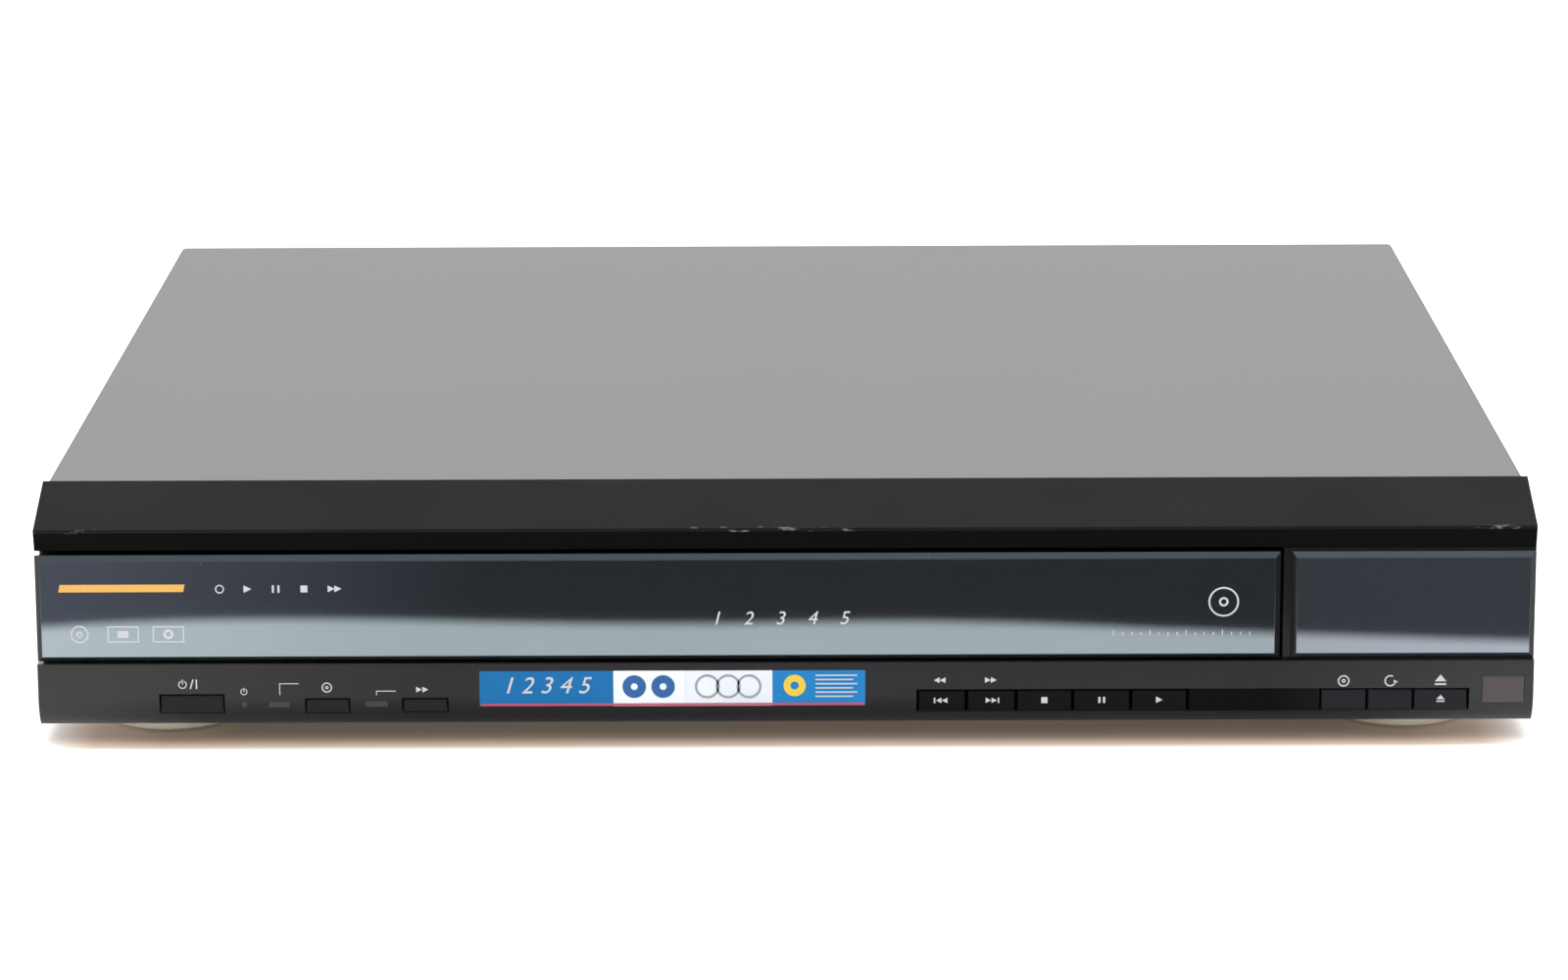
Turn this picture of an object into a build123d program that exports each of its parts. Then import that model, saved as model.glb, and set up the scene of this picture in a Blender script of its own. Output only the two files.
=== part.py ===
from build123d import *
from math import acos, cos, pi, radians, sin, tan
import os

os.makedirs("parts", exist_ok=True)

# Five-disc player, standing on its feet. X runs to the right seen from the front, Y to the back, Z up,
# and the origin is on the floor under the middle of the player. All sizes are in millimetres.

# Disc wells, from which the carousel and the whole player get their size
well_count = 5
well_radius = 60.6
well_circle = 103.6
carousel_rim = 1.3
carousel_radius = well_circle + well_radius + carousel_rim

# Whole player, built round the carousel
left_room = 13.0  # from the carousel to the left end
right_bay = 86.0  # from the carousel to the right end, behind the display
front_room = 19.5
rear_room = 38.5
unit_width = left_room + 2 * carousel_radius + right_bay
unit_depth = front_room + 2 * carousel_radius + rear_room
unit_height = 73.0
right_x = unit_width / 2
left_x = -right_x
front_y = -unit_depth / 2
carousel_x = left_x + left_room + carousel_radius
carousel_y = front_y + front_room + carousel_radius
jack_reach = 7.0  # how far the phono sockets stand out of the rear panel
rear_y = unit_depth / 2 - jack_reach

# Thicknesses and clearances
sheet = 1.0
wall = 2.5
window_thickness = 2.0
board_thickness = 1.6
seat_gap = 0.3
sheet_gap = 0.25
bearing_gap = 0.05

# Folded steel cover
cover_setback = 1.25
cover_width = unit_width - 2 * cover_setback
brow_depth = 25.0  # the sloped plastic brow in front of the cover
cover_front_y = front_y + brow_depth
cover_foot_z = 7.0
cover_fold_radius = 1.5

# Front panel, heights from the floor
nose_z = 64.2
nose_height = 0.8
nose_setback = 0.5
strip_foot_z = 57.8
window_top_z = 56.6
window_foot_z = 25.3
lower_face_top_z = 24.7
curve_top_z = 14.2
panel_foot_z = 6.0
panel_foot_setback = 4.0
face_y = front_y + window_thickness
nose_y = front_y + nose_setback
tongue_depth = 8.0

# Door and display window, seen from the front
display_width = 70.0
display_left_x = right_x - display_width
door_split = 3.1
door_right_x = display_left_x - door_split
window_chamfer = 1.6
recess_y = front_y + 12.5
recess_side_gap = 0.9
door_carrier_y = front_y + 10.0
door_carrier_inset = 0.8
display_aperture = (display_left_x + 5.0, right_x - 7.0, 30.0, 51.0)
display_tube_size = (61.0, 19.0, 8.0)

# Keys: name, left and right edge from the left end of the player, hole foot, hole top
small_keys = (
    ("power", 34.8, 53.6, 9.7, 15.7),
    ("surround", 76.7, 89.7, 9.7, 14.4),
    ("sequential", 104.6, 118.0, 9.9, 14.4),
)
key_row_room = 177.1  # from the row's left end to the right end of the player
key_row_left_x = right_x - key_row_room
key_row_foot_z = 9.7
key_row_top_z = 16.4
key_row_widths = (
    ("skip_back", 14.1),
    ("skip_forward", 14.3),
    ("stop", 16.3),
    ("pause", 16.7),
    ("play", 16.4),
    ("blank", 38.1),
    ("exchange", 13.4),
    ("disc_skip", 13.3),
    ("open", 15.8),
)
key_gap = 0.25
key_proud_y = front_y + 0.4
key_depth = 5.0
key_flange = 1.0
key_edge_bevel = 0.35
key_travel = 0.8
stem_radius = 1.5

# Lenses in the lower face: left and right edge from the left end, foot, top
indicator_rooms = (
    (66.0, 72.4, 11.5, 13.5),
    (93.9, 100.6, 11.6, 13.6),
)
indicator_slots = [(left_x + near, left_x + far, low, high) for near, far, low, high in indicator_rooms]
standby_room = 59.2
standby_z = 12.6
standby_lamp = (left_x + standby_room, standby_z)
standby_radius = 1.0
sensor_width = 12.1
sensor_room = 2.6
sensor_foot_z = 11.9
sensor_top_z = 19.9
sensor_slot = (right_x - sensor_room - sensor_width, right_x - sensor_room, sensor_foot_z, sensor_top_z)
sensor_rim = 1.2

# Boards and switches at the front
front_board_room = (15.5, 17.0, 3.0)  # from the front, the left end and the right end
front_board_y = front_y + front_board_room[0]
front_board_left_x = left_x + front_board_room[1]
front_board_right_x = right_x - front_board_room[2]
front_board_foot_z = 8.9
front_board_low_top_z = 21.0
front_board_high_top_z = 57.0
front_board_step_x = display_left_x + 2.0
board_post = 5.0
low_posts = (21.0, 155.0, 241.0)  # from the left end
low_post_z = 16.0
high_posts = (65.2, 5.8)  # from the right end
high_post_z = 54.2
board_posts = [(left_x + room, low_post_z) for room in low_posts]
board_posts += [(right_x - room, high_post_z) for room in high_posts]
switch_body = 6.0
switch_depth = 3.4
switch_button = 3.0
switch_button_reach = 1.0

# Chassis
pan_foot_z = 6.5
pan_gap = 0.35
pan_side_height = 13.0
pan_front_lip = 5.5
pan_front_y = cover_front_y + 0.5
vent_count = 5
vent_pitch = 9.0
vent_slot = 3.0
pan_vent_length = 36.0
pan_press_room = 70.0  # vents and ribs, behind the carousel's middle
pan_rib_rooms = (-63.5, 131.5)  # from the carousel's middle
pan_rib_width = 8.0
pan_rib_height = 0.8
board_z = 11.5
standoff_radius = 3.0

# Feet
front_foot_radius = 21.5
foot_neck_radius = 8.5
rear_foot_radius = 15.0
foot_x = right_x - 35.0
front_foot_y = front_y + 35.0
rear_foot_y = rear_y - 37.5

# Drawer tray and carousel
tray_half_width = carousel_radius + 6.0
tray_front_y = door_carrier_y
tray_back_y = carousel_y + carousel_radius + 5.0
tray_foot_z = 30.0
tray_floor = 2.0
tray_top_z = 43.3
tray_deck = 2.0
surround_gap = 2.0
tray_travel = 250.0
carousel_top_z = 41.5
carousel_plate = 3.5
well_depth = 1.3
lens_slot_half_width = 17.0
lens_slot_reach = 58.0
axle_radius = 8.0
retainer_radius = 15.0
retainer_height = 1.6
hub_radius = 14.0

# Carousel drive, the ring gear just inside the carousel's rim
ring_teeth = 90
ring_setback = 3.5
ring_module = 2 * (carousel_radius - ring_setback) / ring_teeth
ring_band = 9.0
ring_inner_radius = carousel_radius - ring_setback - ring_band
pinion_teeth = 10
wheel_module = 1.25
wheel_teeth = 40
motor_teeth = 10
drive_angle = 45.0
wheel_height = 3.0
gear_post_radius = 2.5
post_room = 1.2
shaft_hole_radius = 2.0
carousel_shaft_radius = 2.0
tray_shaft_radius = 1.0
pinion_collar_radius = 8.0
collar_overlaps = (0.5, 0.2)  # into the wheel and into the pinion
sump_floor = 2.0
sump_depth = 5.0
motor_radius = 10.5
motor_height = 12.0
flat_motor_height = 8.5

# Tray drive
rack_module = 2.0
rack_teeth = 42
rack_height = 2.8
rack_room = 8.6
rack_back_x = carousel_x - tray_half_width + rack_room
rack_body = 4.6
tray_gear_teeth = 15
tray_gear_y = front_y + 44.5
tray_pulley_radius = 20.0
pulley_step = 1.5
pulley_flange = 1.0
motor_pulley_radius = 6.0
pulley_height = 4.6
tray_motor_reach = 62.0
belt_thickness = 1.2
belt_width = 2.0

# Tooth form
pressure_angle = radians(20)
tooth_addendum = 0.65
tooth_dedendum = 0.95
tooth_backlash = 0.16

# Mechanism base
rail_gap = 1.0
base_wall = 2.5
base_deck = 2.5
base_top_z = 46.0
base_skirt_z = 20.0
base_front_y = recess_y + wall + 3.5
base_back_y = tray_back_y + 7.0
leg_size = 7.0
leg_inset = 1.0
leg_middle_room = 9.5  # behind the carousel's middle
leg_overlap = 0.5
tab_reach = 6.0
tab_length = 14.0
tab_rooms = (4.0, 90.0)  # from the base's front
opening_room = 4.0  # beside the traverse
opening_end_room = 3.0
lug_inset = 10.0
lug_half_width = 4.0

# Disc clamp
bridge_width = 34.0
bridge_sheet = 1.5
bridge_height = 8.0
bridge_slot = (90.0, 14.0)
bridge_slot_room = 90.0
clamper_hole_radius = 13.0
clamper_float = 0.4
clamper_rim = 2.0
clamper_room = 1.4
clamper_rise = 2.6

# Traverse under the play position
play_y = carousel_y + well_circle
traverse_half_width = 44.0
traverse_front_reach = 88.1
traverse_back_reach = 33.9
traverse_front_y = play_y - traverse_front_reach
traverse_back_y = play_y + traverse_back_reach
traverse_plate_z = 19.5
traverse_plate = 3.0
rod_radius = 1.5
rod_fit = 0.04
rod_reach = 24.0
rod_z = 16.6
pickup_width = 58.0
pickup_length = 28.0
pickup_foot_z = 13.0
pickup_top_z = 24.0
pickup_rest_reach = 24.0  # lens to spindle at the inner end of its run
pickup_travel = 34.0
pickup_step = 0.5
pickup_head_half = 20.0
pickup_head_inset = 2.0
arm_half_width = 4.0
arm_thickness = 2.4
lens_radius = 4.2
lens_height = 1.4
screw_inset = 7.5
lead_screw_radius = 1.5
screw_reach = screw_inset - traverse_half_width
spindle_motor_radius = 14.0
turntable_radius = 15.0
turntable_thickness = 2.0
turntable_room = 0.8
spindle_radius = 1.5
spindle_hole_radius = 4.0
cone_radii = (7.4, 4.5)  # at its foot and at its top

# Boards on the pan: left, right, front, back
power_room = (1.0, 8.0, 134.5, 47.5)
power_board = (
    display_left_x + power_room[0],
    right_x - power_room[1],
    front_y + power_room[2],
    rear_y - power_room[3],
)
main_room = (27.0, 96.5, 76.5, 164.5)
main_board = (
    left_x + main_room[0],
    carousel_x + main_room[1],
    front_y + main_room[2],
    front_y + main_room[3],
)
jack_room = (80.0, 87.0, 16.5, 2.0)
jack_board = (
    left_x + jack_room[0],
    right_x - jack_room[1],
    rear_y - jack_room[2],
    rear_y - jack_room[3],
)
board_inset = 5.0
chip_height = 1.8
chips = (  # from the board's left and front: middle, width, depth
    (128.0, 43.0, 28.0, 28.0),
    (78.0, 48.0, 20.0, 14.0),
    (178.0, 38.0, 20.0, 14.0),
    (38.0, 28.0, 12.0, 10.0),
    (218.0, 58.0, 12.0, 10.0),
)
capacitor_sizes = (  # from the board's left and front: middle, radius, height
    (14.0, 158.0, 9.0, 30.0),
    (12.0, 112.0, 5.0, 20.0),
)
fin_height = 32.0
fin_thickness = 1.4
fin_pitch = 8.0
fin_reach = 10.5
fin_base = 2.0
fin_middle = 100.0
fin_half_run = 30.0
core_front_room = 40.0
core_size = (32.0, 30.0, 26.0)
core_limb = 6.0
core_window = (14.0, 14.0)
winding_reach = 5.0
jack_pitch = 14.0
jack_columns = 2
jack_first_room = 103.0
jack_first_x = left_x + jack_first_room
jack_low_z = 21.0
jack_radius = 4.15
jack_collar_radius = 5.2
jack_collar_reach = 0.8
jack_pin_radius = 1.6
jack_body = 12.0


def save(piece, name):
    # names the finished piece and writes it out
    piece.part.label = name
    export_step(piece.part, f"parts/{name}.step")


def upright(y):
    # the plane that faces the front at a given depth
    return Plane.XZ.offset(-y)


def block(x_range, y_range, z_range, mode=Mode.ADD):
    # a block between two limits on each axis, in the piece being built
    limits = (x_range, y_range, z_range)
    size = [high - low for low, high in limits]
    middle = [(high + low) / 2 for low, high in limits]
    with Locations(tuple(middle)):
        Box(*size, mode=mode)


def disc(x, y, low, high, radius, mode=Mode.ADD):
    # an upright cylinder between two heights
    with Locations((x, y, (low + high) / 2)):
        Cylinder(radius, high - low, mode=mode)


def flank_half_angle(teeth, module, radius):
    # half the angle that a tooth fills at a radius, on an involute flank
    pitch_radius = module * teeth / 2
    base_radius = pitch_radius * cos(pressure_angle)
    at_pitch = pi / 2 / teeth - tooth_backlash / 2 / pitch_radius
    contact = acos(min(1.0, base_radius / max(radius, base_radius)))
    involute = tan(contact) - contact
    return at_pitch + tan(pressure_angle) - pressure_angle - involute


def gear_outline(teeth, module, phase, flats):
    # corners of a spur gear with a tooth centred on the phase angle, each flank as a few flats
    root = module * (teeth / 2 - tooth_dedendum)
    tip = module * (teeth / 2 + tooth_addendum)
    radii = [root + (tip - root) * step / flats for step in range(flats + 1)]
    corners = []
    for tooth in range(teeth):
        middle = phase + 2 * pi * tooth / teeth
        rising = [(r, middle - flank_half_angle(teeth, module, r)) for r in radii]
        falling = [(r, 2 * middle - angle) for r, angle in reversed(rising)]
        corners += [(r * cos(angle), r * sin(angle)) for r, angle in rising + falling]
    return corners


def gear_teeth(x, y, low, high, teeth, module, phase, flats=2):
    # a toothed disc in the piece being built
    with BuildSketch(Plane((x, y, low))) as toothed_disc:
        with BuildLine():
            Polyline(*gear_outline(teeth, module, phase, flats), close=True)
        make_face()
    extrude(toothed_disc.sketch, amount=high - low)


def rack_outline(teeth, module, first_y, pitch_x, back_x):
    # corners of a straight rack whose teeth point to +X
    pitch = pi * module
    half = pitch / 4 - tooth_backlash / 2
    tip_half = half - module * tooth_addendum * tan(pressure_angle)
    root_half = half + module * tooth_dedendum * tan(pressure_angle)
    tip_x = pitch_x + module * tooth_addendum
    root_x = pitch_x - module * tooth_dedendum
    corners = [(back_x, first_y - pitch / 2)]
    for tooth in range(teeth):
        middle = first_y + pitch * tooth
        corners.append((root_x, middle - root_half))
        corners.append((tip_x, middle - tip_half))
        corners.append((tip_x, middle + tip_half))
        corners.append((root_x, middle + root_half))
    corners.append((back_x, first_y + pitch * (teeth - 0.5)))
    return corners


# Folded cover: a top and two sides that reach past the rear panel
cover_half = cover_width / 2
cover_back_y = rear_y + sheet
with BuildPart() as top_cover:
    with BuildSketch(upright(cover_front_y)):
        with BuildLine():
            Polyline(
                (-cover_half, cover_foot_z),
                (-cover_half, unit_height),
                (cover_half, unit_height),
                (cover_half, cover_foot_z),
                close=True,
            )
        make_face()
        fillet(vertices().group_by(Axis.Y)[-1], cover_fold_radius)
    extrude(amount=-(cover_back_y - cover_front_y))
    inner_half = cover_half - sheet
    block(
        (-inner_half, inner_half),
        (cover_front_y - sheet, cover_back_y + sheet),
        (cover_foot_z - sheet, unit_height - sheet),
        Mode.SUBTRACT,
    )
save(top_cover, "top_cover")


# Side outline of the moulded front: brow, nose, window seat and lower face
with BuildSketch() as panel_outline:
    with BuildLine():
        Polyline(
            (cover_front_y, panel_foot_z),
            (cover_front_y, unit_height),
            (nose_y, nose_z),
            (nose_y, nose_z - nose_height),
            (face_y, strip_foot_z),
            (face_y, lower_face_top_z),
            (front_y, lower_face_top_z),
            (front_y, curve_top_z),
        )
        TangentArc(
            (front_y, curve_top_z),
            (front_y + panel_foot_setback, panel_foot_z),
            tangent=(0, -1),
        )
        Line((front_y + panel_foot_setback, panel_foot_z), (cover_front_y, panel_foot_z))
    make_face()


# Each key's place: name, left and right edge, foot and top of the hole
key_places = [(name, left_x + near, left_x + far, low, high) for name, near, far, low, high in small_keys]
edge = key_row_left_x
for key_name, key_width in key_row_widths:
    key_places.append((key_name, edge, edge + key_width, key_row_foot_z, key_row_top_z))
    edge += key_width
key_row_right_x = edge
recess_right_x = door_right_x + recess_side_gap
tray_left_x = carousel_x - tray_half_width
tray_right_x = carousel_x + tray_half_width
tray_slot_gap = 0.6
door_lap = 1.0
boss_sink = 0.3
tongue_thickness = 1.5
window_setback = 0.2
tray_slot_foot_z = tray_foot_z - rack_height - tray_slot_gap
tray_slot_top_z = window_top_z - door_lap
boss_y = front_y + wall - boss_sink

# Moulded front panel with the brow, the door recess and the holes for keys and lenses
with BuildPart() as front_panel:
    with BuildSketch(Plane.YZ.offset(-unit_width / 2)):
        add(panel_outline.sketch)
    extrude(amount=unit_width)
    with BuildSketch(Plane.YZ.offset(-unit_width / 2 + wall)):
        add(panel_outline.sketch)
        offset(amount=-wall, kind=Kind.INTERSECTION, mode=Mode.REPLACE)
    extrude(amount=unit_width - 2 * wall, mode=Mode.SUBTRACT)
    block(
        (-unit_width / 2 + wall, unit_width / 2 - wall),
        (cover_front_y - 2 * wall, cover_front_y + wall),
        (panel_foot_z + wall, unit_height - wall),
        Mode.SUBTRACT,
    )
    block(
        (-unit_width / 2, recess_right_x + wall),
        (face_y, recess_y + wall),
        (lower_face_top_z - wall, strip_foot_z + wall),
    )
    block(
        (-unit_width, recess_right_x),
        (front_y - wall, recess_y),
        (lower_face_top_z, strip_foot_z),
        Mode.SUBTRACT,
    )
    block(
        (tray_left_x - wall, tray_right_x + wall),
        (recess_y - wall, recess_y + 2 * wall),
        (tray_slot_foot_z, tray_slot_top_z),
        Mode.SUBTRACT,
    )
    left, right, low, high = display_aperture
    block((left, right), (front_y, face_y + 2 * wall), (low, high), Mode.SUBTRACT)
    for key_name, left, right, low, high in key_places[:3]:
        block((left, right), (front_y - wall, front_y + 2 * wall), (low, high), Mode.SUBTRACT)
    block(
        (key_row_left_x - key_gap, key_row_right_x + key_gap),
        (front_y - wall, front_y + 2 * wall),
        (key_row_foot_z, key_row_top_z),
        Mode.SUBTRACT,
    )
    for key_name, left, right, low, high in key_places[3:]:
        if key_name == "blank":
            block((left + key_gap, right - key_gap), (key_proud_y, key_proud_y + key_depth), (low, high))
    for left, right, low, high in indicator_slots + [sensor_slot]:
        block((left, right), (front_y - wall, front_y + 2 * wall), (low, high), Mode.SUBTRACT)
    with BuildSketch(upright(front_y + 2 * wall)):
        with Locations(standby_lamp):
            Circle(standby_radius + bearing_gap)
    extrude(amount=3 * wall, mode=Mode.SUBTRACT)
    with BuildSketch(upright(front_board_y)):
        with Locations(*board_posts):
            Rectangle(board_post, board_post)
    extrude(amount=front_board_y - boss_y)
    tongue_z = unit_height - sheet - sheet_gap
    block(
        (-unit_width / 2 + 4 * wall, unit_width / 2 - 4 * wall),
        (cover_front_y - wall, cover_front_y + tongue_depth),
        (tongue_z - tongue_thickness, tongue_z),
    )
save(front_panel, "front_panel")


def window_plate(left, right):
    # a flat acrylic plate whose front edges are bevelled
    with BuildPart() as plate:
        with BuildSketch(upright(face_y)):
            with Locations(((left + right) / 2, (window_foot_z + window_top_z) / 2)):
                Rectangle(right - left, window_top_z - window_foot_z)
        extrude(amount=window_thickness)
        chamfer(plate.faces().sort_by(Axis.Y)[0].edges(), window_chamfer)
    return plate


# Smoked windows of the door and the display
door_window = window_plate(-unit_width / 2, door_right_x)
save(door_window, "door_window")
display_window = window_plate(display_left_x, unit_width / 2)
save(display_window, "display_window")

# Door carrier: a shallow ribbed tray of plastic behind the window
carrier_left_x = -unit_width / 2 + door_carrier_inset
carrier_right_x = door_right_x - door_carrier_inset
carrier_low_z = window_foot_z + door_carrier_inset
carrier_high_z = window_top_z - door_carrier_inset
carrier_rib_pitch = 0.4 * carousel_radius - 0.2
with BuildPart() as tray_door:
    block((carrier_left_x, carrier_right_x), (face_y, door_carrier_y), (carrier_low_z, carrier_high_z))
    block(
        (carrier_left_x + 2, carrier_right_x - 2),
        (face_y + 2, door_carrier_y + 2),
        (carrier_low_z + 2, carrier_high_z - 2),
        Mode.SUBTRACT,
    )
    with BuildSketch(upright(door_carrier_y)):
        with Locations((carousel_x, (carrier_low_z + carrier_high_z) / 2)):
            with GridLocations(carrier_rib_pitch, 0, 6, 1):
                Rectangle(2, carrier_high_z - carrier_low_z - 2)
    extrude(amount=door_carrier_y - face_y - 1)
save(tray_door, "tray_door")

# Front keys: cap through the panel, flange behind it and a stem towards its switch
switch_tip_y = front_board_y - switch_depth - switch_button_reach
stem_tip_y = switch_tip_y - key_travel - bearing_gap
switch_places = []
for key_name, left, right, low, high in key_places:
    if key_name != "blank":
        middle = ((left + right) / 2, (low + high) / 2)
        switch_places.append(middle)
        with BuildPart() as key:
            with BuildSketch(upright(key_proud_y + key_depth)):
                with Locations(middle):
                    Rectangle(right - left - 2 * key_gap, high - low - 2 * key_gap)
            extrude(amount=key_depth)
            chamfer(key.faces().sort_by(Axis.Y)[0].edges(), key_edge_bevel)
            with BuildSketch(upright(key_proud_y + key_depth)):
                with Locations(middle):
                    Rectangle(right - left - 2 * key_gap, high - low + key_flange)
            extrude(amount=-key_flange)
            with BuildSketch(upright(stem_tip_y)):
                with Locations(middle):
                    RegularPolygon(stem_radius, 6)
            extrude(amount=stem_tip_y - key_proud_y - key_depth)
        save(key, f"{key_name}_button")

# Light pipes of the standby lamp and the two indicators
with BuildPart() as indicator_lenses:
    for left, right, low, high in indicator_slots:
        block(
            (left + bearing_gap, right - bearing_gap),
            (key_proud_y, front_board_y),
            (low + bearing_gap, high - bearing_gap),
        )
    with BuildSketch(upright(front_board_y)):
        with Locations(standby_lamp):
            Circle(standby_radius)
    extrude(amount=front_board_y - key_proud_y)
save(indicator_lenses, "indicator_lenses")

# Window of the remote receiver, held by a rim behind the panel
left, right, low, high = sensor_slot
with BuildPart() as sensor_window:
    block(
        (left + bearing_gap, right - bearing_gap),
        (front_y + window_setback, front_y + wall),
        (low + bearing_gap, high - bearing_gap),
    )
    block(
        (left - sensor_rim, unit_width / 2 - wall),
        (front_y + wall, front_y + wall + sensor_rim),
        (curve_top_z + sheet_gap, high + sensor_rim),
    )
save(sensor_window, "sensor_window")

# Front circuit board: a low strip behind the keys, a tall end for the display and the remote receiver
sensor_middle = ((sensor_slot[0] + sensor_slot[1]) / 2, (sensor_slot[2] + sensor_slot[3]) / 2)
receiver_size = (6.5, 7.0, 8.0)
with BuildPart() as front_board:
    with BuildSketch(upright(front_board_y + board_thickness)):
        with BuildLine():
            Polyline(
                (front_board_left_x, front_board_foot_z),
                (front_board_right_x, front_board_foot_z),
                (front_board_right_x, front_board_high_top_z),
                (front_board_step_x, front_board_high_top_z),
                (front_board_step_x, front_board_low_top_z),
                (front_board_left_x, front_board_low_top_z),
                close=True,
            )
        make_face()
    extrude(amount=board_thickness)
    with BuildSketch(upright(front_board_y)):
        with Locations(sensor_middle):
            Rectangle(*receiver_size[:2])
    extrude(amount=receiver_size[2])
save(front_board, "front_board")

# One push switch on the board behind each key
with BuildPart() as tact_switches:
    with BuildSketch(upright(front_board_y)):
        with Locations(*switch_places):
            Rectangle(switch_body, switch_body)
    extrude(amount=switch_depth)
    with BuildSketch(upright(front_board_y - switch_depth)):
        with Locations(*switch_places):
            Rectangle(switch_button, switch_button)
    extrude(amount=switch_button_reach)
save(tact_switches, "tact_switches")

# Display tube: a glass box on the board with a bevelled front
left, right, low, high = display_aperture
tube_width, tube_height, tube_depth = display_tube_size
with BuildPart() as display_tube:
    with BuildSketch(upright(front_board_y)):
        with Locations(((left + right) / 2, (low + high) / 2)):
            Rectangle(tube_width, tube_height)
    extrude(amount=tube_depth)
    chamfer(display_tube.faces().sort_by(Axis.Y)[0].edges(), 0.8)
save(display_tube, "display_tube")

# Chassis pan: folded steel floor with low sides, pressed ribs, vents and board standoffs
pan_half = cover_half - sheet - pan_gap
pan_floor_z = pan_foot_z + sheet
pan_press_y = carousel_y + pan_press_room
standoffs = []
for left, right, front, back in (power_board, main_board, jack_board):
    inset = min(board_inset, (back - front) / 2)
    for x in (left + board_inset, right - board_inset):
        for y in sorted({front + inset, back - inset}):
            standoffs.append((x, y))
with BuildPart() as chassis_pan:
    block((-pan_half, pan_half), (pan_front_y, rear_y), (pan_foot_z, pan_foot_z + pan_side_height))
    block(
        (-pan_half + sheet, pan_half - sheet),
        (pan_front_y + sheet, rear_y + sheet),
        (pan_floor_z, unit_height),
        Mode.SUBTRACT,
    )
    block(
        (-pan_half + sheet, pan_half - sheet),
        (pan_front_y - sheet, pan_front_y + 2 * sheet),
        (pan_foot_z + pan_front_lip, unit_height),
        Mode.SUBTRACT,
    )
    with BuildSketch(Plane.XY.offset(pan_foot_z)):
        with Locations((carousel_x, pan_press_y), (sum(power_board[:2]) / 2, sum(power_board[2:]) / 2)):
            with GridLocations(0, vent_pitch, 1, vent_count):
                Rectangle(pan_vent_length, vent_slot)
    extrude(amount=sheet, mode=Mode.SUBTRACT)
    with BuildSketch(Plane.XY.offset(pan_floor_z)):
        with Locations(*standoffs):
            Rectangle(2 * standoff_radius, 2 * standoff_radius)
    extrude(amount=board_z - pan_floor_z)
    with BuildSketch(Plane.XY.offset(pan_floor_z)):
        with Locations(*[(carousel_x + room, pan_press_y) for room in pan_rib_rooms]):
            Rectangle(pan_rib_width, carousel_radius)
    extrude(amount=pan_rib_height)
save(chassis_pan, "chassis_pan")

# Front feet: turned gold rings on a black pad
foot_profile = (
    (0.0, 0.0),
    (front_foot_radius - 4.5, 0.0),
    (front_foot_radius - 0.9, 1.4),
    (front_foot_radius, 2.6),
    (front_foot_radius, 4.2),
    (foot_neck_radius, 5.2),
    (foot_neck_radius, pan_foot_z),
    (0.0, pan_foot_z),
)
with BuildPart() as foot_form:
    with BuildSketch(Plane.XZ):
        with BuildLine():
            Polyline(*foot_profile, close=True)
        make_face()
    revolve(axis=Axis.Z)
with BuildPart() as front_feet:
    with Locations((-foot_x, front_foot_y), (foot_x, front_foot_y)):
        add(foot_form.part)
save(front_feet, "front_feet")

# Rear feet: plain tapered discs
with BuildPart() as rear_feet:
    with BuildSketch(Plane.XY.offset(pan_foot_z)):
        with Locations((-foot_x, rear_foot_y), (foot_x, rear_foot_y)):
            Circle(rear_foot_radius)
    extrude(amount=-pan_foot_z, taper=8)
save(rear_feet, "rear_feet")

# Places of the sockets on the rear panel
jack_places = []
for column in range(jack_columns):
    for level in range(2):
        jack_places.append((jack_first_x + column * jack_pitch, jack_low_z + level * jack_pitch))
socket_z = jack_low_z + jack_pitch / 2
jack_middle_x = jack_first_x + (jack_columns - 1) * jack_pitch / 2
s_video_room = 6.0
s_video_radius = 6.2
s_video_rim = 1.4
optical_room = 20.0
optical_size = 9.6
optical_mouth = 6.8
socket_reach = 1.2  # how far the video and optical sockets stand out
socket_mouth_depth = 6.0
socket_half_width = 7.0
socket_depth = 11.0
socket_rise = 8.0
jack_depth = 12.0
s_video_x = jack_first_x + jack_columns * jack_pitch + s_video_room
optical_x = s_video_x + optical_room
inlet_x = sum(power_board[:2]) / 2
inlet_z = 25.0
inlet_size = (22.0, 14.0)
inlet_seat = 1.0
inlet_lip = 1.3
inlet_reach = 0.8
inlet_slot = (16.4, 8.6)
inlet_pin_room = 4.3
inlet_pin_radius = 1.2
rear_vent_count = 8
rear_vent_height = 22.0
rear_vent_drop = 23.0
side_screw_rooms = (51.5, 69.5)  # from the cover's front and from the rear

# Rear panel: sheet steel with the socket holes and a row of vents
panel_half = cover_half - sheet - pan_gap - sheet - sheet_gap
rear_inner_y = rear_y - sheet
with BuildPart() as rear_panel:
    block((-panel_half, panel_half), (rear_inner_y, rear_y), (pan_floor_z, unit_height - sheet - sheet_gap))
    with BuildSketch(upright(rear_y)):
        with Locations(*jack_places):
            Circle(jack_collar_radius + sheet_gap)
        with Locations((s_video_x, socket_z)):
            Circle(s_video_radius + sheet_gap)
        with Locations((optical_x, socket_z)):
            Rectangle(optical_size + 2 * sheet_gap, optical_size + 2 * sheet_gap)
        with Locations((inlet_x, inlet_z)):
            Rectangle(inlet_size[0] - 2 * inlet_seat, inlet_size[1] - 2 * inlet_seat)
        with Locations((carousel_x + carousel_radius / 2, unit_height - rear_vent_drop)):
            with GridLocations(vent_pitch, 0, rear_vent_count, 1):
                Rectangle(vent_slot, rear_vent_height)
    extrude(amount=2 * sheet, both=True, mode=Mode.SUBTRACT)
save(rear_panel, "rear_panel")

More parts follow.
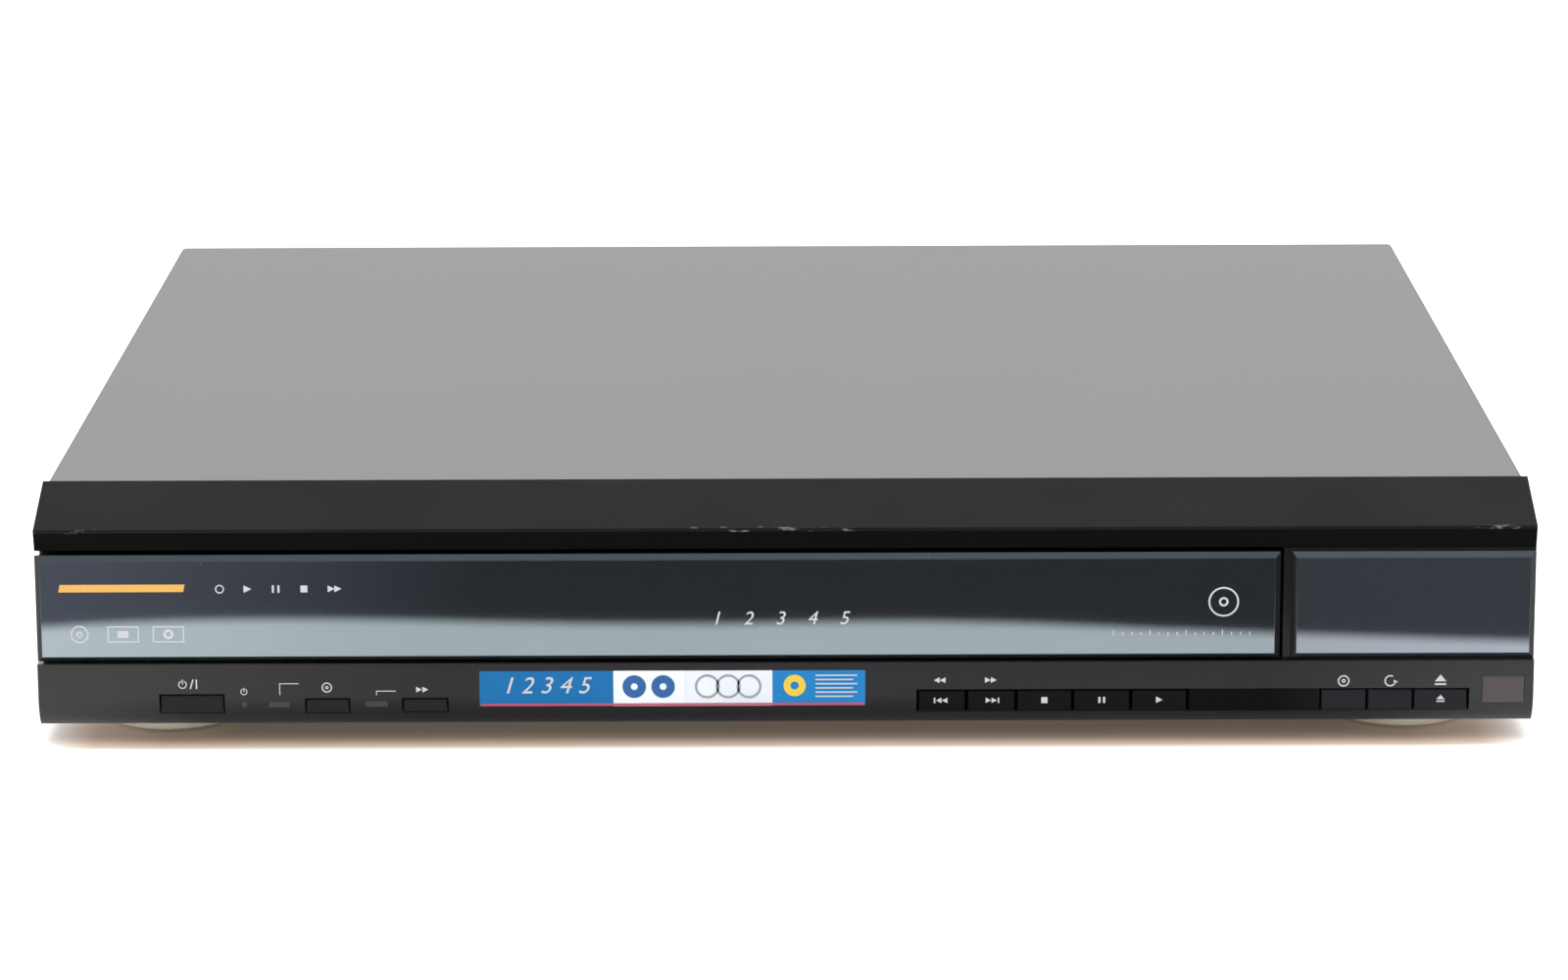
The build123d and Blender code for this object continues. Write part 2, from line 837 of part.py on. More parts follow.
# Case screws: two on each side of the cover, and two that hold the sockets to the rear panel
side_screw_z = pan_foot_z + pan_side_height / 2
case_screw_radius = 3.2
case_screw_head = 1.5
socket_screw_x = (s_video_x + s_video_radius + optical_x - optical_size / 2) / 2
with BuildPart() as case_screws:
    for side in (-1, 1):
        with BuildSketch(Plane.YZ.offset(side * cover_half)):
            with Locations((cover_front_y + side_screw_rooms[0], side_screw_z),
                           (rear_y - side_screw_rooms[1], side_screw_z)):
                RegularPolygon(case_screw_radius, 12)
        extrude(amount=side * case_screw_head)
    with BuildSketch(upright(rear_y)):
        with Locations((jack_middle_x, socket_z), (socket_screw_x, socket_z)):
            RegularPolygon(case_screw_radius, 12)
    extrude(amount=-case_screw_head)
save(case_screws, "case_screws")

# Power board with its capacitors and heat sink, and the transformer on it
left, right, front, back = power_board
board_top_z = board_z + board_thickness
with BuildPart() as power_board_piece:
    block((left, right), (front, back), (board_z, board_top_z))
    for x, y, radius, height in capacitor_sizes:
        disc(left + x, front + y, board_top_z, board_top_z + height, radius)
    fin_root_x = right - board_inset - fin_reach
    fin_y = front + fin_middle
    block(
        (fin_root_x - fin_base, fin_root_x),
        (fin_y - fin_half_run, fin_y + fin_half_run),
        (board_top_z, board_top_z + fin_height),
    )
    with BuildSketch(Plane.XY.offset(board_top_z)):
        with Locations((fin_root_x + fin_reach / 2, fin_y)):
            with GridLocations(0, fin_pitch, 1, 7):
                Rectangle(fin_reach, fin_thickness)
    extrude(amount=fin_height)
save(power_board_piece, "power_board")

core_middle = (left + 2 * board_inset + core_size[0] / 2, front + core_front_room + core_size[1] / 2)
core_middle_z = board_top_z + core_size[2] / 2
with BuildPart() as transformer:
    with Locations((*core_middle, core_middle_z)):
        Box(*core_size)
        for side in (-1, 1):
            with Locations((side * (core_size[0] - core_limb) / 2, 0, 0)):
                Box(core_limb, *core_window, mode=Mode.SUBTRACT)
        Box(core_size[0] - 2 * board_inset + 2, core_size[1] + 2 * winding_reach, core_window[1] - 2)
save(transformer, "transformer")

# Main board with its chips
left, right, front, back = main_board
with BuildPart() as main_board_piece:
    block((left, right), (front, back), (board_z, board_top_z))
    for x, y, width, depth in chips:
        with Locations((left + x, front + y, board_top_z + chip_height / 2)):
            Box(width, depth, chip_height)
save(main_board_piece, "main_board")

# Jack board standing behind the rear panel, with the phono, video and optical sockets
left, right, front, back = jack_board
with BuildPart() as jack_board_piece:
    block((left, right), (front, back), (board_z, board_top_z))
save(jack_board_piece, "jack_board")

with BuildPart() as rca_jacks:
    for column in range(jack_columns):
        x = jack_first_x + column * jack_pitch
        block((x - jack_body / 2, x + jack_body / 2), (rear_inner_y - jack_depth, rear_inner_y),
              (board_top_z, jack_low_z + jack_pitch + jack_body / 2))
    with BuildSketch(upright(rear_inner_y)):
        with Locations(*jack_places):
            Circle(jack_collar_radius)
    extrude(amount=-(sheet + jack_collar_reach))
    with BuildSketch(upright(rear_y)):
        with Locations(*jack_places):
            Circle(jack_radius)
    extrude(amount=-jack_reach)
    with BuildSketch(upright(rear_y + jack_reach)):
        with Locations(*jack_places):
            RegularPolygon(jack_pin_radius, 8)
    extrude(amount=jack_reach + 4, mode=Mode.SUBTRACT)
save(rca_jacks, "rca_jacks")

with BuildPart() as signal_sockets:
    block((s_video_x - socket_half_width, s_video_x + socket_half_width),
          (rear_inner_y - socket_depth, rear_inner_y), (board_top_z, socket_z + socket_rise))
    with BuildSketch(upright(rear_inner_y)):
        with Locations((s_video_x, socket_z)):
            Circle(s_video_radius)
    extrude(amount=-(sheet + socket_reach))
    with BuildSketch(upright(rear_y + socket_reach)):
        with Locations((s_video_x, socket_z)):
            Circle(s_video_radius - s_video_rim)
    extrude(amount=socket_mouth_depth, mode=Mode.SUBTRACT)
    block((optical_x - socket_half_width, optical_x + socket_half_width),
          (rear_inner_y - socket_depth, rear_inner_y), (board_top_z, socket_z + socket_rise))
    block(
        (optical_x - optical_size / 2, optical_x + optical_size / 2),
        (rear_inner_y, rear_y + socket_reach),
        (socket_z - optical_size / 2, socket_z + optical_size / 2),
    )
    block(
        (optical_x - optical_mouth / 2, optical_x + optical_mouth / 2),
        (rear_y - socket_mouth_depth, rear_y + 2 * socket_reach),
        (socket_z - optical_mouth / 2, socket_z + optical_mouth / 2),
        Mode.SUBTRACT,
    )
save(signal_sockets, "signal_sockets")

# Two-pin mains inlet with its rounded recess
inlet_depth = 11.0
with BuildPart() as power_inlet:
    with BuildSketch(upright(rear_inner_y)):
        with Locations((inlet_x, inlet_z)):
            Rectangle(inlet_size[0], inlet_size[1])
    extrude(amount=inlet_depth + 2)
    with BuildSketch(upright(rear_inner_y)):
        with Locations((inlet_x, inlet_z)):
            Rectangle(inlet_size[0] - 2 * inlet_lip, inlet_size[1] - 2 * inlet_lip)
    extrude(amount=-(sheet + inlet_reach))
    with BuildSketch(upright(rear_y + inlet_reach)):
        with Locations((inlet_x, inlet_z)):
            SlotOverall(*inlet_slot)
    extrude(amount=inlet_depth, mode=Mode.SUBTRACT)
    with BuildSketch(upright(rear_y - 1.5)):
        with Locations((inlet_x - inlet_pin_room, inlet_z), (inlet_x + inlet_pin_room, inlet_z)):
            RegularPolygon(inlet_pin_radius, 8)
    extrude(amount=inlet_depth - 1)
    block((inlet_x - 9, inlet_x + 9), (rear_inner_y - inlet_depth, rear_inner_y - 2),
          (board_top_z, inlet_z - inlet_size[1] / 2 + 1))
save(power_inlet, "power_inlet")

# Mechanism base: a deck under the tray with a skirt below it and legs down to the pan
base_left_x = tray_left_x - rail_gap - base_wall
base_right_x = tray_right_x + rail_gap + base_wall
deck_top_z = tray_foot_z - seat_gap
deck_foot_z = deck_top_z - base_deck
drive_reach = (ring_teeth + pinion_teeth) * ring_module / 2
drive_x = carousel_x + drive_reach * cos(radians(drive_angle))
drive_y = carousel_y + drive_reach * sin(radians(drive_angle))
motor_reach = (wheel_teeth + motor_teeth) * wheel_module / 2
motor_x = drive_x + motor_reach * cos(radians(drive_angle))
motor_y = drive_y + motor_reach * sin(radians(drive_angle))
wheel_tip = wheel_module * (wheel_teeth / 2 + tooth_addendum)
motor_tip = wheel_module * (motor_teeth / 2 + tooth_addendum)
sump_clear = 1.0
sump_radius = wheel_tip + sump_clear + tray_floor
sump_foot_z = tray_foot_z - sump_depth
rack_pitch_x = rack_back_x + rack_body + rack_module * tooth_dedendum
tray_gear_radius = rack_module * tray_gear_teeth / 2
tray_gear_x = rack_pitch_x + tray_gear_radius
tray_motor_x = tray_gear_x + tray_motor_reach
bracket_gap = 0.5
bracket_top_z = base_skirt_z - bracket_gap
bracket_foot_z = bracket_top_z - base_deck
opening_half = traverse_half_width + opening_room
opening_front_y = traverse_front_y - opening_end_room
opening_back_y = traverse_back_y + opening_end_room
lug_top_z = traverse_plate_z
leg_reach = leg_inset + leg_size / 2
drive_bay_right_x = carousel_x - 60
drive_bay_back_y = tray_gear_y + 25
bracket_left_x = base_left_x + leg_inset + leg_size + seat_gap
bracket_right_x = tray_motor_x + motor_radius + 2
bracket_back_y = drive_bay_back_y + base_wall
with BuildPart() as mechanism_base:
    block((base_left_x, base_right_x), (base_front_y, base_back_y), (base_skirt_z, deck_top_z))
    block(
        (base_left_x + base_wall, base_right_x - base_wall),
        (base_front_y + base_wall, base_back_y - base_wall),
        (base_skirt_z - 1, deck_foot_z),
        Mode.SUBTRACT,
    )
    # skirt round the traverse opening, then the opening itself
    block(
        (carousel_x - opening_half - base_wall, carousel_x + opening_half + base_wall),
        (opening_front_y - base_wall, opening_back_y + base_wall),
        (lug_top_z - base_deck, deck_foot_z),
    )
    block(
        (carousel_x - opening_half, carousel_x + opening_half),
        (opening_front_y, opening_back_y),
        (pan_floor_z, deck_top_z + 1),
        Mode.SUBTRACT,
    )
    # lugs that carry the traverse
    for side in (-1, 1):
        for y in (traverse_front_y + lug_inset, traverse_back_y - lug_inset):
            outer = carousel_x + side * opening_half
            inner = carousel_x + side * (traverse_half_width - lug_half_width)
            block((min(outer, inner), max(outer, inner)), (y - lug_half_width, y + lug_half_width),
                  (lug_top_z - base_deck, lug_top_z))
    # room for the sump of the moving tray and for the tray's rack
    block(
        (drive_x - sump_radius - 2, motor_x + motor_tip + tray_floor + 4),
        (drive_y - tray_travel - sump_radius - 2, motor_y + motor_tip + tray_floor + 4),
        (sump_foot_z - 1, deck_top_z + 1),
        Mode.SUBTRACT,
    )
    block(
        (rack_back_x - 1, rack_pitch_x + 3),
        (base_front_y - 1, tray_gear_y + tray_travel + 30),
        (tray_foot_z - rack_height - 1, deck_top_z + 1),
        Mode.SUBTRACT,
    )
    # bay over the tray gear and its belt
    block(
        (rack_pitch_x + 2, drive_bay_right_x),
        (base_front_y + base_wall, drive_bay_back_y),
        (deck_foot_z - 1, deck_top_z + 1),
        Mode.SUBTRACT,
    )
    # legs on the pan
    for x in (base_left_x + leg_reach, base_right_x - leg_reach):
        for y in (pan_front_y + sheet + leg_size, carousel_y + leg_middle_room, base_back_y - leg_size / 2):
            block((x - leg_size / 2, x + leg_size / 2), (y - leg_size / 2, y + leg_size / 2),
                  (pan_floor_z, base_skirt_z + leg_overlap))
save(mechanism_base, "mechanism_base")

# Rails on the base beside the tray, with guide tabs over the tray's edges
with BuildPart() as side_rails:
    for inner, outer in ((base_left_x + base_wall, base_left_x), (base_right_x - base_wall, base_right_x)):
        block((min(inner, outer), max(inner, outer)), (base_front_y, base_back_y), (deck_top_z, base_top_z))
        reach = inner + tab_reach if inner > outer else inner - tab_reach
        for y in (base_front_y + tab_rooms[0], base_front_y + tab_rooms[1], carousel_y):
            block((min(inner, reach), max(inner, reach)), (y, y + tab_length),
                  (tray_top_z + seat_gap, base_top_z))
save(side_rails, "side_rails")

# Bracket under the drive bay that holds the tray gear's post and the tray motor
with BuildPart() as drive_bracket:
    block((bracket_left_x, bracket_right_x), (base_front_y, bracket_back_y), (bracket_foot_z, bracket_top_z))
    block((bracket_left_x, bracket_right_x), (base_front_y, base_front_y + base_wall),
          (bracket_foot_z, base_skirt_z))
    block(
        (bracket_left_x, bracket_right_x),
        (drive_bay_back_y, bracket_back_y),
        (bracket_foot_z, deck_foot_z),
    )
    disc(tray_gear_x, tray_gear_y, bracket_top_z, tray_foot_z - post_room, gear_post_radius)
    disc(tray_motor_x, tray_gear_y, bracket_foot_z - 1, bracket_top_z + 1, shaft_hole_radius, Mode.SUBTRACT)
save(drive_bracket, "drive_bracket")

# Drawer tray: floor and walls, with a sump for the carousel's gears
axle_top_z = carousel_top_z + seat_gap
tray_middle_y = (tray_front_y + tray_back_y) / 2
tray_length = tray_back_y - tray_front_y
tray_wall_top_z = tray_top_z - tray_deck
with BuildPart() as tray:
    with BuildSketch(Plane.XY.offset(tray_foot_z)):
        with Locations((carousel_x, tray_middle_y)):
            Rectangle(2 * tray_half_width, tray_length)
    extrude(amount=tray_wall_top_z - tray_foot_z)
    with BuildSketch(Plane.XY.offset(tray_foot_z + tray_floor)):
        with Locations((carousel_x, tray_middle_y)):
            Rectangle(2 * (tray_half_width - wall), tray_length - 2 * wall)
    extrude(amount=tray_wall_top_z - tray_foot_z - tray_floor, mode=Mode.SUBTRACT)
    # sump for the wheel and the motor pinion
    with BuildSketch(Plane.XY.offset(sump_foot_z)):
        with BuildLine():
            CenterArc((drive_x, drive_y), sump_radius, 0, 360)
            CenterArc((motor_x, motor_y), motor_tip + sump_clear + tray_floor, 0, 360)
        make_hull()
    extrude(amount=tray_foot_z - sump_foot_z)
    with BuildSketch(Plane.XY.offset(sump_foot_z + sump_floor)):
        with BuildLine():
            CenterArc((drive_x, drive_y), sump_radius - tray_floor, 0, 360)
            CenterArc((motor_x, motor_y), motor_tip + sump_clear, 0, 360)
        make_hull()
    extrude(amount=tray_foot_z + tray_floor - sump_foot_z - sump_floor, mode=Mode.SUBTRACT)
    disc(drive_x, drive_y, sump_foot_z, tray_foot_z + tray_floor + wheel_height, gear_post_radius)
    # axle of the carousel, and the floor opening over the traverse
    disc(carousel_x, carousel_y, tray_foot_z + 1, axle_top_z, axle_radius)
    with BuildSketch(Plane.XY.offset(tray_foot_z - 1)):
        with Locations((carousel_x, (traverse_front_y + traverse_back_y) / 2 + 6)):
            RectangleRounded(2 * traverse_half_width - 10, traverse_back_y - traverse_front_y - 2, 6)
    extrude(amount=tray_floor + 2, mode=Mode.SUBTRACT)
save(tray, "tray")

# Surround on the tray's walls, with the round opening for the carousel
with BuildPart() as tray_surround:
    with BuildSketch(Plane.XY.offset(tray_wall_top_z)):
        with Locations((carousel_x, tray_middle_y)):
            Rectangle(2 * tray_half_width, tray_length)
        with Locations((carousel_x, carousel_y)):
            Circle(carousel_radius + surround_gap, mode=Mode.SUBTRACT)
        with Locations((motor_x, motor_y)):
            Circle(motor_radius + 1, mode=Mode.SUBTRACT)
    extrude(amount=tray_deck)
save(tray_surround, "tray_surround")

# Carousel: a round plate with five disc wells, each with a slot that the hub and the lens reach through
plate_foot_z = carousel_top_z - carousel_plate
ring_room = 1.0
pinion_room = 2.0
ring_foot_z = tray_foot_z + tray_floor + ring_room
pinion_top_z = plate_foot_z - pinion_room
with BuildPart() as carousel:
    with BuildSketch(Plane.XY.offset(plate_foot_z)):
        with Locations((carousel_x, carousel_y)):
            Circle(carousel_radius)
    extrude(amount=carousel_plate)
    bore = axle_radius + bearing_gap
    disc(carousel_x, carousel_y, plate_foot_z - 1, carousel_top_z + 1, bore, Mode.SUBTRACT)
    for index in range(well_count):
        turn = 90 + index * 360 / well_count
        well_x = carousel_x + well_circle * cos(radians(turn))
        well_y = carousel_y + well_circle * sin(radians(turn))
        disc(well_x, well_y, carousel_top_z - well_depth, carousel_top_z + 1, well_radius, Mode.SUBTRACT)
        inward = (-cos(radians(turn)), -sin(radians(turn)), 0)
        with BuildSketch(Plane((well_x, well_y, plate_foot_z), x_dir=inward)):
            with BuildLine():
                Polyline(
                    (0, lens_slot_half_width),
                    (lens_slot_reach, lens_slot_half_width),
                    (lens_slot_reach, -lens_slot_half_width),
                    (0, -lens_slot_half_width),
                )
                CenterArc((0, 0), lens_slot_half_width, 90, 180)
            make_face()
        extrude(amount=carousel_plate, mode=Mode.SUBTRACT)
save(carousel, "carousel")

# Bush under the carousel that runs on the tray's axle
with BuildPart() as carousel_hub:
    with BuildSketch(Plane.XY.offset(tray_foot_z + tray_floor + seat_gap)):
        with Locations((carousel_x, carousel_y)):
            RegularPolygon(hub_radius, 12)
    extrude(amount=plate_foot_z - tray_foot_z - tray_floor - seat_gap)
    disc(carousel_x, carousel_y, tray_foot_z, carousel_top_z, axle_radius + bearing_gap, Mode.SUBTRACT)
save(carousel_hub, "carousel_hub")

# Retainer that keeps the carousel on its axle
with BuildPart() as carousel_retainer:
    disc(carousel_x, carousel_y, axle_top_z, axle_top_z + retainer_height, retainer_radius)
save(carousel_retainer, "carousel_retainer")

# Ring gear under the carousel's rim, in mesh with the pinion at the rear right
with BuildPart() as ring_gear:
    gear_teeth(carousel_x, carousel_y, ring_foot_z, plate_foot_z, ring_teeth, ring_module,
               radians(drive_angle), flats=1)
    disc(carousel_x, carousel_y, ring_foot_z - 1, plate_foot_z + 1, ring_inner_radius, Mode.SUBTRACT)
save(ring_gear, "ring_gear")

# Carousel gear: the wheel in the sump and the pinion above it on one post
pinion_phase = radians(drive_angle + 180) + pi / pinion_teeth
wheel_foot_z = sump_foot_z + sump_floor + seat_gap
with BuildPart() as carousel_gear:
    gear_teeth(drive_x, drive_y, wheel_foot_z, wheel_foot_z + wheel_height, wheel_teeth, wheel_module,
               radians(drive_angle), flats=1)
    disc(drive_x, drive_y, wheel_foot_z + wheel_height - collar_overlaps[0], ring_foot_z + collar_overlaps[1],
         pinion_collar_radius)
    gear_teeth(drive_x, drive_y, ring_foot_z, pinion_top_z, pinion_teeth, ring_module, pinion_phase)
    disc(drive_x, drive_y, sump_foot_z, plate_foot_z, gear_post_radius + bearing_gap, Mode.SUBTRACT)
save(carousel_gear, "carousel_gear")

# Carousel motor on the tray floor and the pinion on its shaft
motor_phase = radians(drive_angle + 180) + pi / motor_teeth
with BuildPart() as carousel_motor:
    disc(motor_x, motor_y, tray_foot_z + tray_floor, tray_foot_z + tray_floor + motor_height, motor_radius)
save(carousel_motor, "carousel_motor")

with BuildPart() as carousel_pinion:
    gear_teeth(motor_x, motor_y, wheel_foot_z, wheel_foot_z + wheel_height,
               motor_teeth, wheel_module, motor_phase)
    disc(motor_x, motor_y, wheel_foot_z + wheel_height, tray_foot_z + tray_floor - bearing_gap,
         carousel_shaft_radius)
save(carousel_pinion, "carousel_pinion")

# Rack along the underside of the tray and the gear that drives it
rack_pitch = pi * rack_module
rack_first_y = tray_gear_y - 1.5 * rack_pitch
with BuildPart() as tray_rack:
    with BuildSketch(Plane.XY.offset(tray_foot_z - rack_height)):
        with BuildLine():
            outline = rack_outline(rack_teeth, rack_module, rack_first_y, rack_pitch_x, rack_back_x)
            Polyline(*outline, close=True)
        make_face()
    extrude(amount=rack_height)
save(tray_rack, "tray_rack")

pulley_foot_z = bracket_top_z + seat_gap
belt_foot_z = pulley_foot_z + pulley_flange + seat_gap


def pulley(x, y, radius):
    # a flat pulley with a flange under the belt, in the piece being built
    disc(x, y, pulley_foot_z, pulley_foot_z + pulley_flange, radius)
    disc(x, y, pulley_foot_z, pulley_foot_z + pulley_height, radius - pulley_step)


with BuildPart() as tray_gear:
    pulley(tray_gear_x, tray_gear_y, tray_pulley_radius)
    gear_teeth(tray_gear_x, tray_gear_y, pulley_foot_z + pulley_height, tray_foot_z - 0.5,
               tray_gear_teeth, rack_module, pi)
    disc(tray_gear_x, tray_gear_y, bracket_top_z, tray_foot_z, gear_post_radius + bearing_gap, Mode.SUBTRACT)
save(tray_gear, "tray_gear")

with BuildPart() as tray_motor:
    disc(tray_motor_x, tray_gear_y, bracket_foot_z - flat_motor_height, bracket_foot_z, motor_radius)
save(tray_motor, "tray_motor")

with BuildPart() as motor_pulley:
    pulley(tray_motor_x, tray_gear_y, motor_pulley_radius)
    disc(tray_motor_x, tray_gear_y, bracket_foot_z + bearing_gap, pulley_foot_z, tray_shaft_radius)
save(motor_pulley, "motor_pulley")

# Drive belt round both pulleys
belt_grow = seat_gap + belt_thickness - pulley_step
with BuildPart() as tray_belt:
    with BuildSketch(Plane.XY.offset(belt_foot_z)):
        with BuildLine():
            CenterArc((tray_gear_x, tray_gear_y), tray_pulley_radius + belt_grow, 0, 360)
            CenterArc((tray_motor_x, tray_gear_y), motor_pulley_radius + belt_grow, 0, 360)
        make_hull()
        offset(amount=-belt_thickness, mode=Mode.SUBTRACT)
    extrude(amount=belt_width)
save(tray_belt, "tray_belt")

# Clamper bridge: a channel of sheet steel from wall to wall over the play position
with BuildPart() as clamper_bridge:
    with BuildSketch(Plane.YZ.offset(base_left_x)):
        with Locations((play_y, base_top_z + bridge_height / 2)):
            Rectangle(bridge_width, bridge_height)
        with Locations((play_y, base_top_z + bridge_height / 2 + bridge_sheet)):
            Rectangle(bridge_width - 2 * bridge_sheet, bridge_height, mode=Mode.SUBTRACT)
    extrude(amount=base_right_x - base_left_x)
    disc(carousel_x, play_y, base_top_z - 1, base_top_z + 2 * bridge_sheet, clamper_hole_radius,
         Mode.SUBTRACT)
    with BuildSketch(Plane.XY.offset(base_top_z)):
        with Locations((carousel_x - bridge_slot_room, play_y), (carousel_x + bridge_slot_room, play_y)):
            Rectangle(*bridge_slot)
    extrude(amount=bridge_sheet, mode=Mode.SUBTRACT)
save(clamper_bridge, "clamper_bridge")

# Clamper: a magnetic puck that hangs by its rim in the bridge
clamper_foot_z = tray_top_z + clamper_room
clamper_neck = clamper_hole_radius - clamper_float
clamper_top_z = base_top_z + bridge_sheet + clamper_rise
with BuildPart() as clamper:
    with BuildSketch(Plane.XZ):
        with BuildLine():
            Polyline(
                (0, clamper_foot_z),
                (clamper_neck, clamper_foot_z),
                (clamper_neck, base_top_z + bridge_sheet + seat_gap),
                (clamper_hole_radius + clamper_rim, base_top_z + bridge_sheet + seat_gap),
                (clamper_hole_radius + clamper_rim, clamper_top_z),
                (0, clamper_top_z),
                close=True,
            )
        make_face()
    revolve(axis=Axis.Z)
clamper.part.position = (carousel_x, play_y, 0)
save(clamper, "clamper")

# Traverse frame: the plate that carries the spindle motor, rods and pickup
plate_top_z = traverse_plate_z + traverse_plate
pickup_lens_y = play_y - pickup_rest_reach
pickup_lens_room = 9.0
pickup_back_y = pickup_lens_y + pickup_lens_room
pickup_front_y = pickup_back_y - pickup_length
pickup_gap = 1.5
frame_opening_front = pickup_front_y - pickup_travel - pickup_gap
rod_front_room = 6.0
rod_back_room = 12.0
rod_seat_length = 4.0
rod_seat_half = 3.5
rod_front_y = frame_opening_front - rod_front_room
rod_back_y = pickup_back_y + rod_back_room
with BuildPart() as traverse_frame:
    with BuildSketch(Plane.XY.offset(traverse_plate_z)):
        with Locations((carousel_x, (traverse_front_y + traverse_back_y) / 2)):
            Rectangle(2 * traverse_half_width, traverse_back_y - traverse_front_y)
        with Locations((carousel_x, (frame_opening_front + pickup_back_y + pickup_gap) / 2)):
            Rectangle(pickup_width + 2 * pickup_gap, pickup_back_y + pickup_gap - frame_opening_front,
                      mode=Mode.SUBTRACT)
        with Locations((carousel_x, play_y)):
            Circle(spindle_hole_radius, mode=Mode.SUBTRACT)
    extrude(amount=traverse_plate)
    for side in (-1, 1):
        for y in (rod_front_y, rod_back_y - rod_seat_length):
            x = carousel_x + side * rod_reach
            block((x - rod_seat_half, x + rod_seat_half), (y, y + rod_seat_length),
                  (rod_z - rod_seat_half, traverse_plate_z))
    with BuildSketch(upright(rod_back_y)):
        with Locations((carousel_x - rod_reach, rod_z), (carousel_x + rod_reach, rod_z)):
            Rectangle(2 * rod_radius + rod_fit, 2 * rod_radius + rod_fit)
    extrude(amount=rod_back_y - rod_front_y, mode=Mode.SUBTRACT)
save(traverse_frame, "traverse_frame")

with BuildPart() as guide_rods:
    with BuildSketch(upright(rod_back_y)):
        with Locations((carousel_x - rod_reach, rod_z), (carousel_x + rod_reach, rod_z)):
            Circle(rod_radius)
    extrude(amount=rod_back_y - rod_front_y)
save(guide_rods, "guide_rods")

# Spindle motor under the plate and the turntable on its shaft
with BuildPart() as spindle_motor:
    disc(carousel_x, play_y, traverse_plate_z - flat_motor_height, traverse_plate_z, spindle_motor_radius)
save(spindle_motor, "spindle_motor")

turntable_top_z = tray_foot_z - turntable_room
turntable_foot_z = plate_top_z + turntable_room
turntable_face_z = turntable_foot_z + turntable_thickness
with BuildPart() as turntable:
    with BuildSketch(Plane.XZ):
        with BuildLine():
            Polyline(
                (0, traverse_plate_z + bearing_gap),
                (spindle_radius, traverse_plate_z + bearing_gap),
                (spindle_radius, turntable_foot_z),
                (turntable_radius, turntable_foot_z),
                (turntable_radius, turntable_face_z),
                (cone_radii[0], turntable_face_z),
                (cone_radii[1], turntable_top_z),
                (0, turntable_top_z),
                close=True,
            )
        make_face()
    revolve(axis=Axis.Z)
turntable.part.position = (carousel_x, play_y, 0)
save(turntable, "turntable")

# Optical pickup on its rods, with an arm to the lead screw
pickup_middle_y = (pickup_front_y + pickup_back_y) / 2
screw_x = carousel_x + screw_reach
with BuildPart() as pickup:
    block(
        (carousel_x - pickup_width / 2, carousel_x + pickup_width / 2),
        (pickup_front_y, pickup_back_y),
        (pickup_foot_z, traverse_plate_z + pickup_step),
    )
    block(
        (carousel_x - pickup_head_half, carousel_x + pickup_head_half),
        (pickup_front_y + pickup_head_inset, pickup_back_y - pickup_head_inset),
        (traverse_plate_z, pickup_top_z),
    )
    block(
        (screw_x + lead_screw_radius + seat_gap, carousel_x - pickup_width / 2 + 1),
        (pickup_middle_y - arm_half_width, pickup_middle_y + arm_half_width),
        (rod_z - arm_thickness / 2, rod_z + arm_thickness / 2),
    )
    with BuildSketch(upright(pickup_back_y)):
        with Locations((carousel_x - rod_reach, rod_z), (carousel_x + rod_reach, rod_z)):
            Circle(rod_radius + bearing_gap)
    extrude(amount=pickup_length, mode=Mode.SUBTRACT)
save(pickup, "pickup")

with BuildPart() as pickup_lens:
    disc(carousel_x, pickup_lens_y, pickup_top_z, pickup_top_z + lens_height, lens_radius)
save(pickup_lens, "pickup_lens")

# Sled motor and its lead screw beside the pickup
screw_front_y = rod_front_y
sled_motor_room = 16.0
sled_motor_radius = 6.0
sled_motor_length = 14.0
sled_motor_y = pickup_back_y + sled_motor_room
with BuildPart() as sled_motor:
    with BuildSketch(upright(sled_motor_y + sled_motor_length)):
        with Locations((screw_x, traverse_plate_z - sled_motor_radius)):
            Circle(sled_motor_radius)
    extrude(amount=sled_motor_length)
save(sled_motor, "sled_motor")

with BuildPart() as lead_screw:
    with BuildSketch(upright(sled_motor_y - bearing_gap)):
        with Locations((screw_x, rod_z)):
            Circle(lead_screw_radius)
    extrude(amount=sled_motor_y - bearing_gap - screw_front_y)
save(lead_screw, "lead_screw")
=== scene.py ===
import math

import bmesh
import bpy
from mathutils import Matrix, Vector


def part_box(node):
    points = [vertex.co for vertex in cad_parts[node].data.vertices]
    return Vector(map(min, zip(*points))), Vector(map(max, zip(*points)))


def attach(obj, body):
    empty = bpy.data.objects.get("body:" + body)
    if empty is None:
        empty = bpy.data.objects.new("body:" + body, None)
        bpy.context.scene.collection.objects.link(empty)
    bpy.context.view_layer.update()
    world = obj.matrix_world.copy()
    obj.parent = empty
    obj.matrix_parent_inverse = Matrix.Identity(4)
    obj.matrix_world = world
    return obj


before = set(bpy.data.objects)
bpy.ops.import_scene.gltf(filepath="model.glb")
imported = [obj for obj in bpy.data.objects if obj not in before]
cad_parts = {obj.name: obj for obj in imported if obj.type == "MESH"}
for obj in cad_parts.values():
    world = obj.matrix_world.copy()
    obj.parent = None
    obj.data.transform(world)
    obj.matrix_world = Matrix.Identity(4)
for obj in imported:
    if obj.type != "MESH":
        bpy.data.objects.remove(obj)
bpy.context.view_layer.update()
print("frame loaded")

mm = 0.001
bumpReach = 0.1 * mm
noiseSpan = (0.3, 0.7)  # most of a noise's values lie between these
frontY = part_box("door_window")[0][1]  # the flat front of the door, the display and the lower face


def linear(hexCode, level=1.0):
    # an sRGB hex colour as linear values, dimmed by a level under one
    values = []
    for place in (1, 3, 5):
        part = int(hexCode[place:place + 2], 16) / 255
        values.append(level * (part / 12.92 if part <= 0.04045 else ((part + 0.055) / 1.055) ** 2.4))
    return (*values, 1.0)


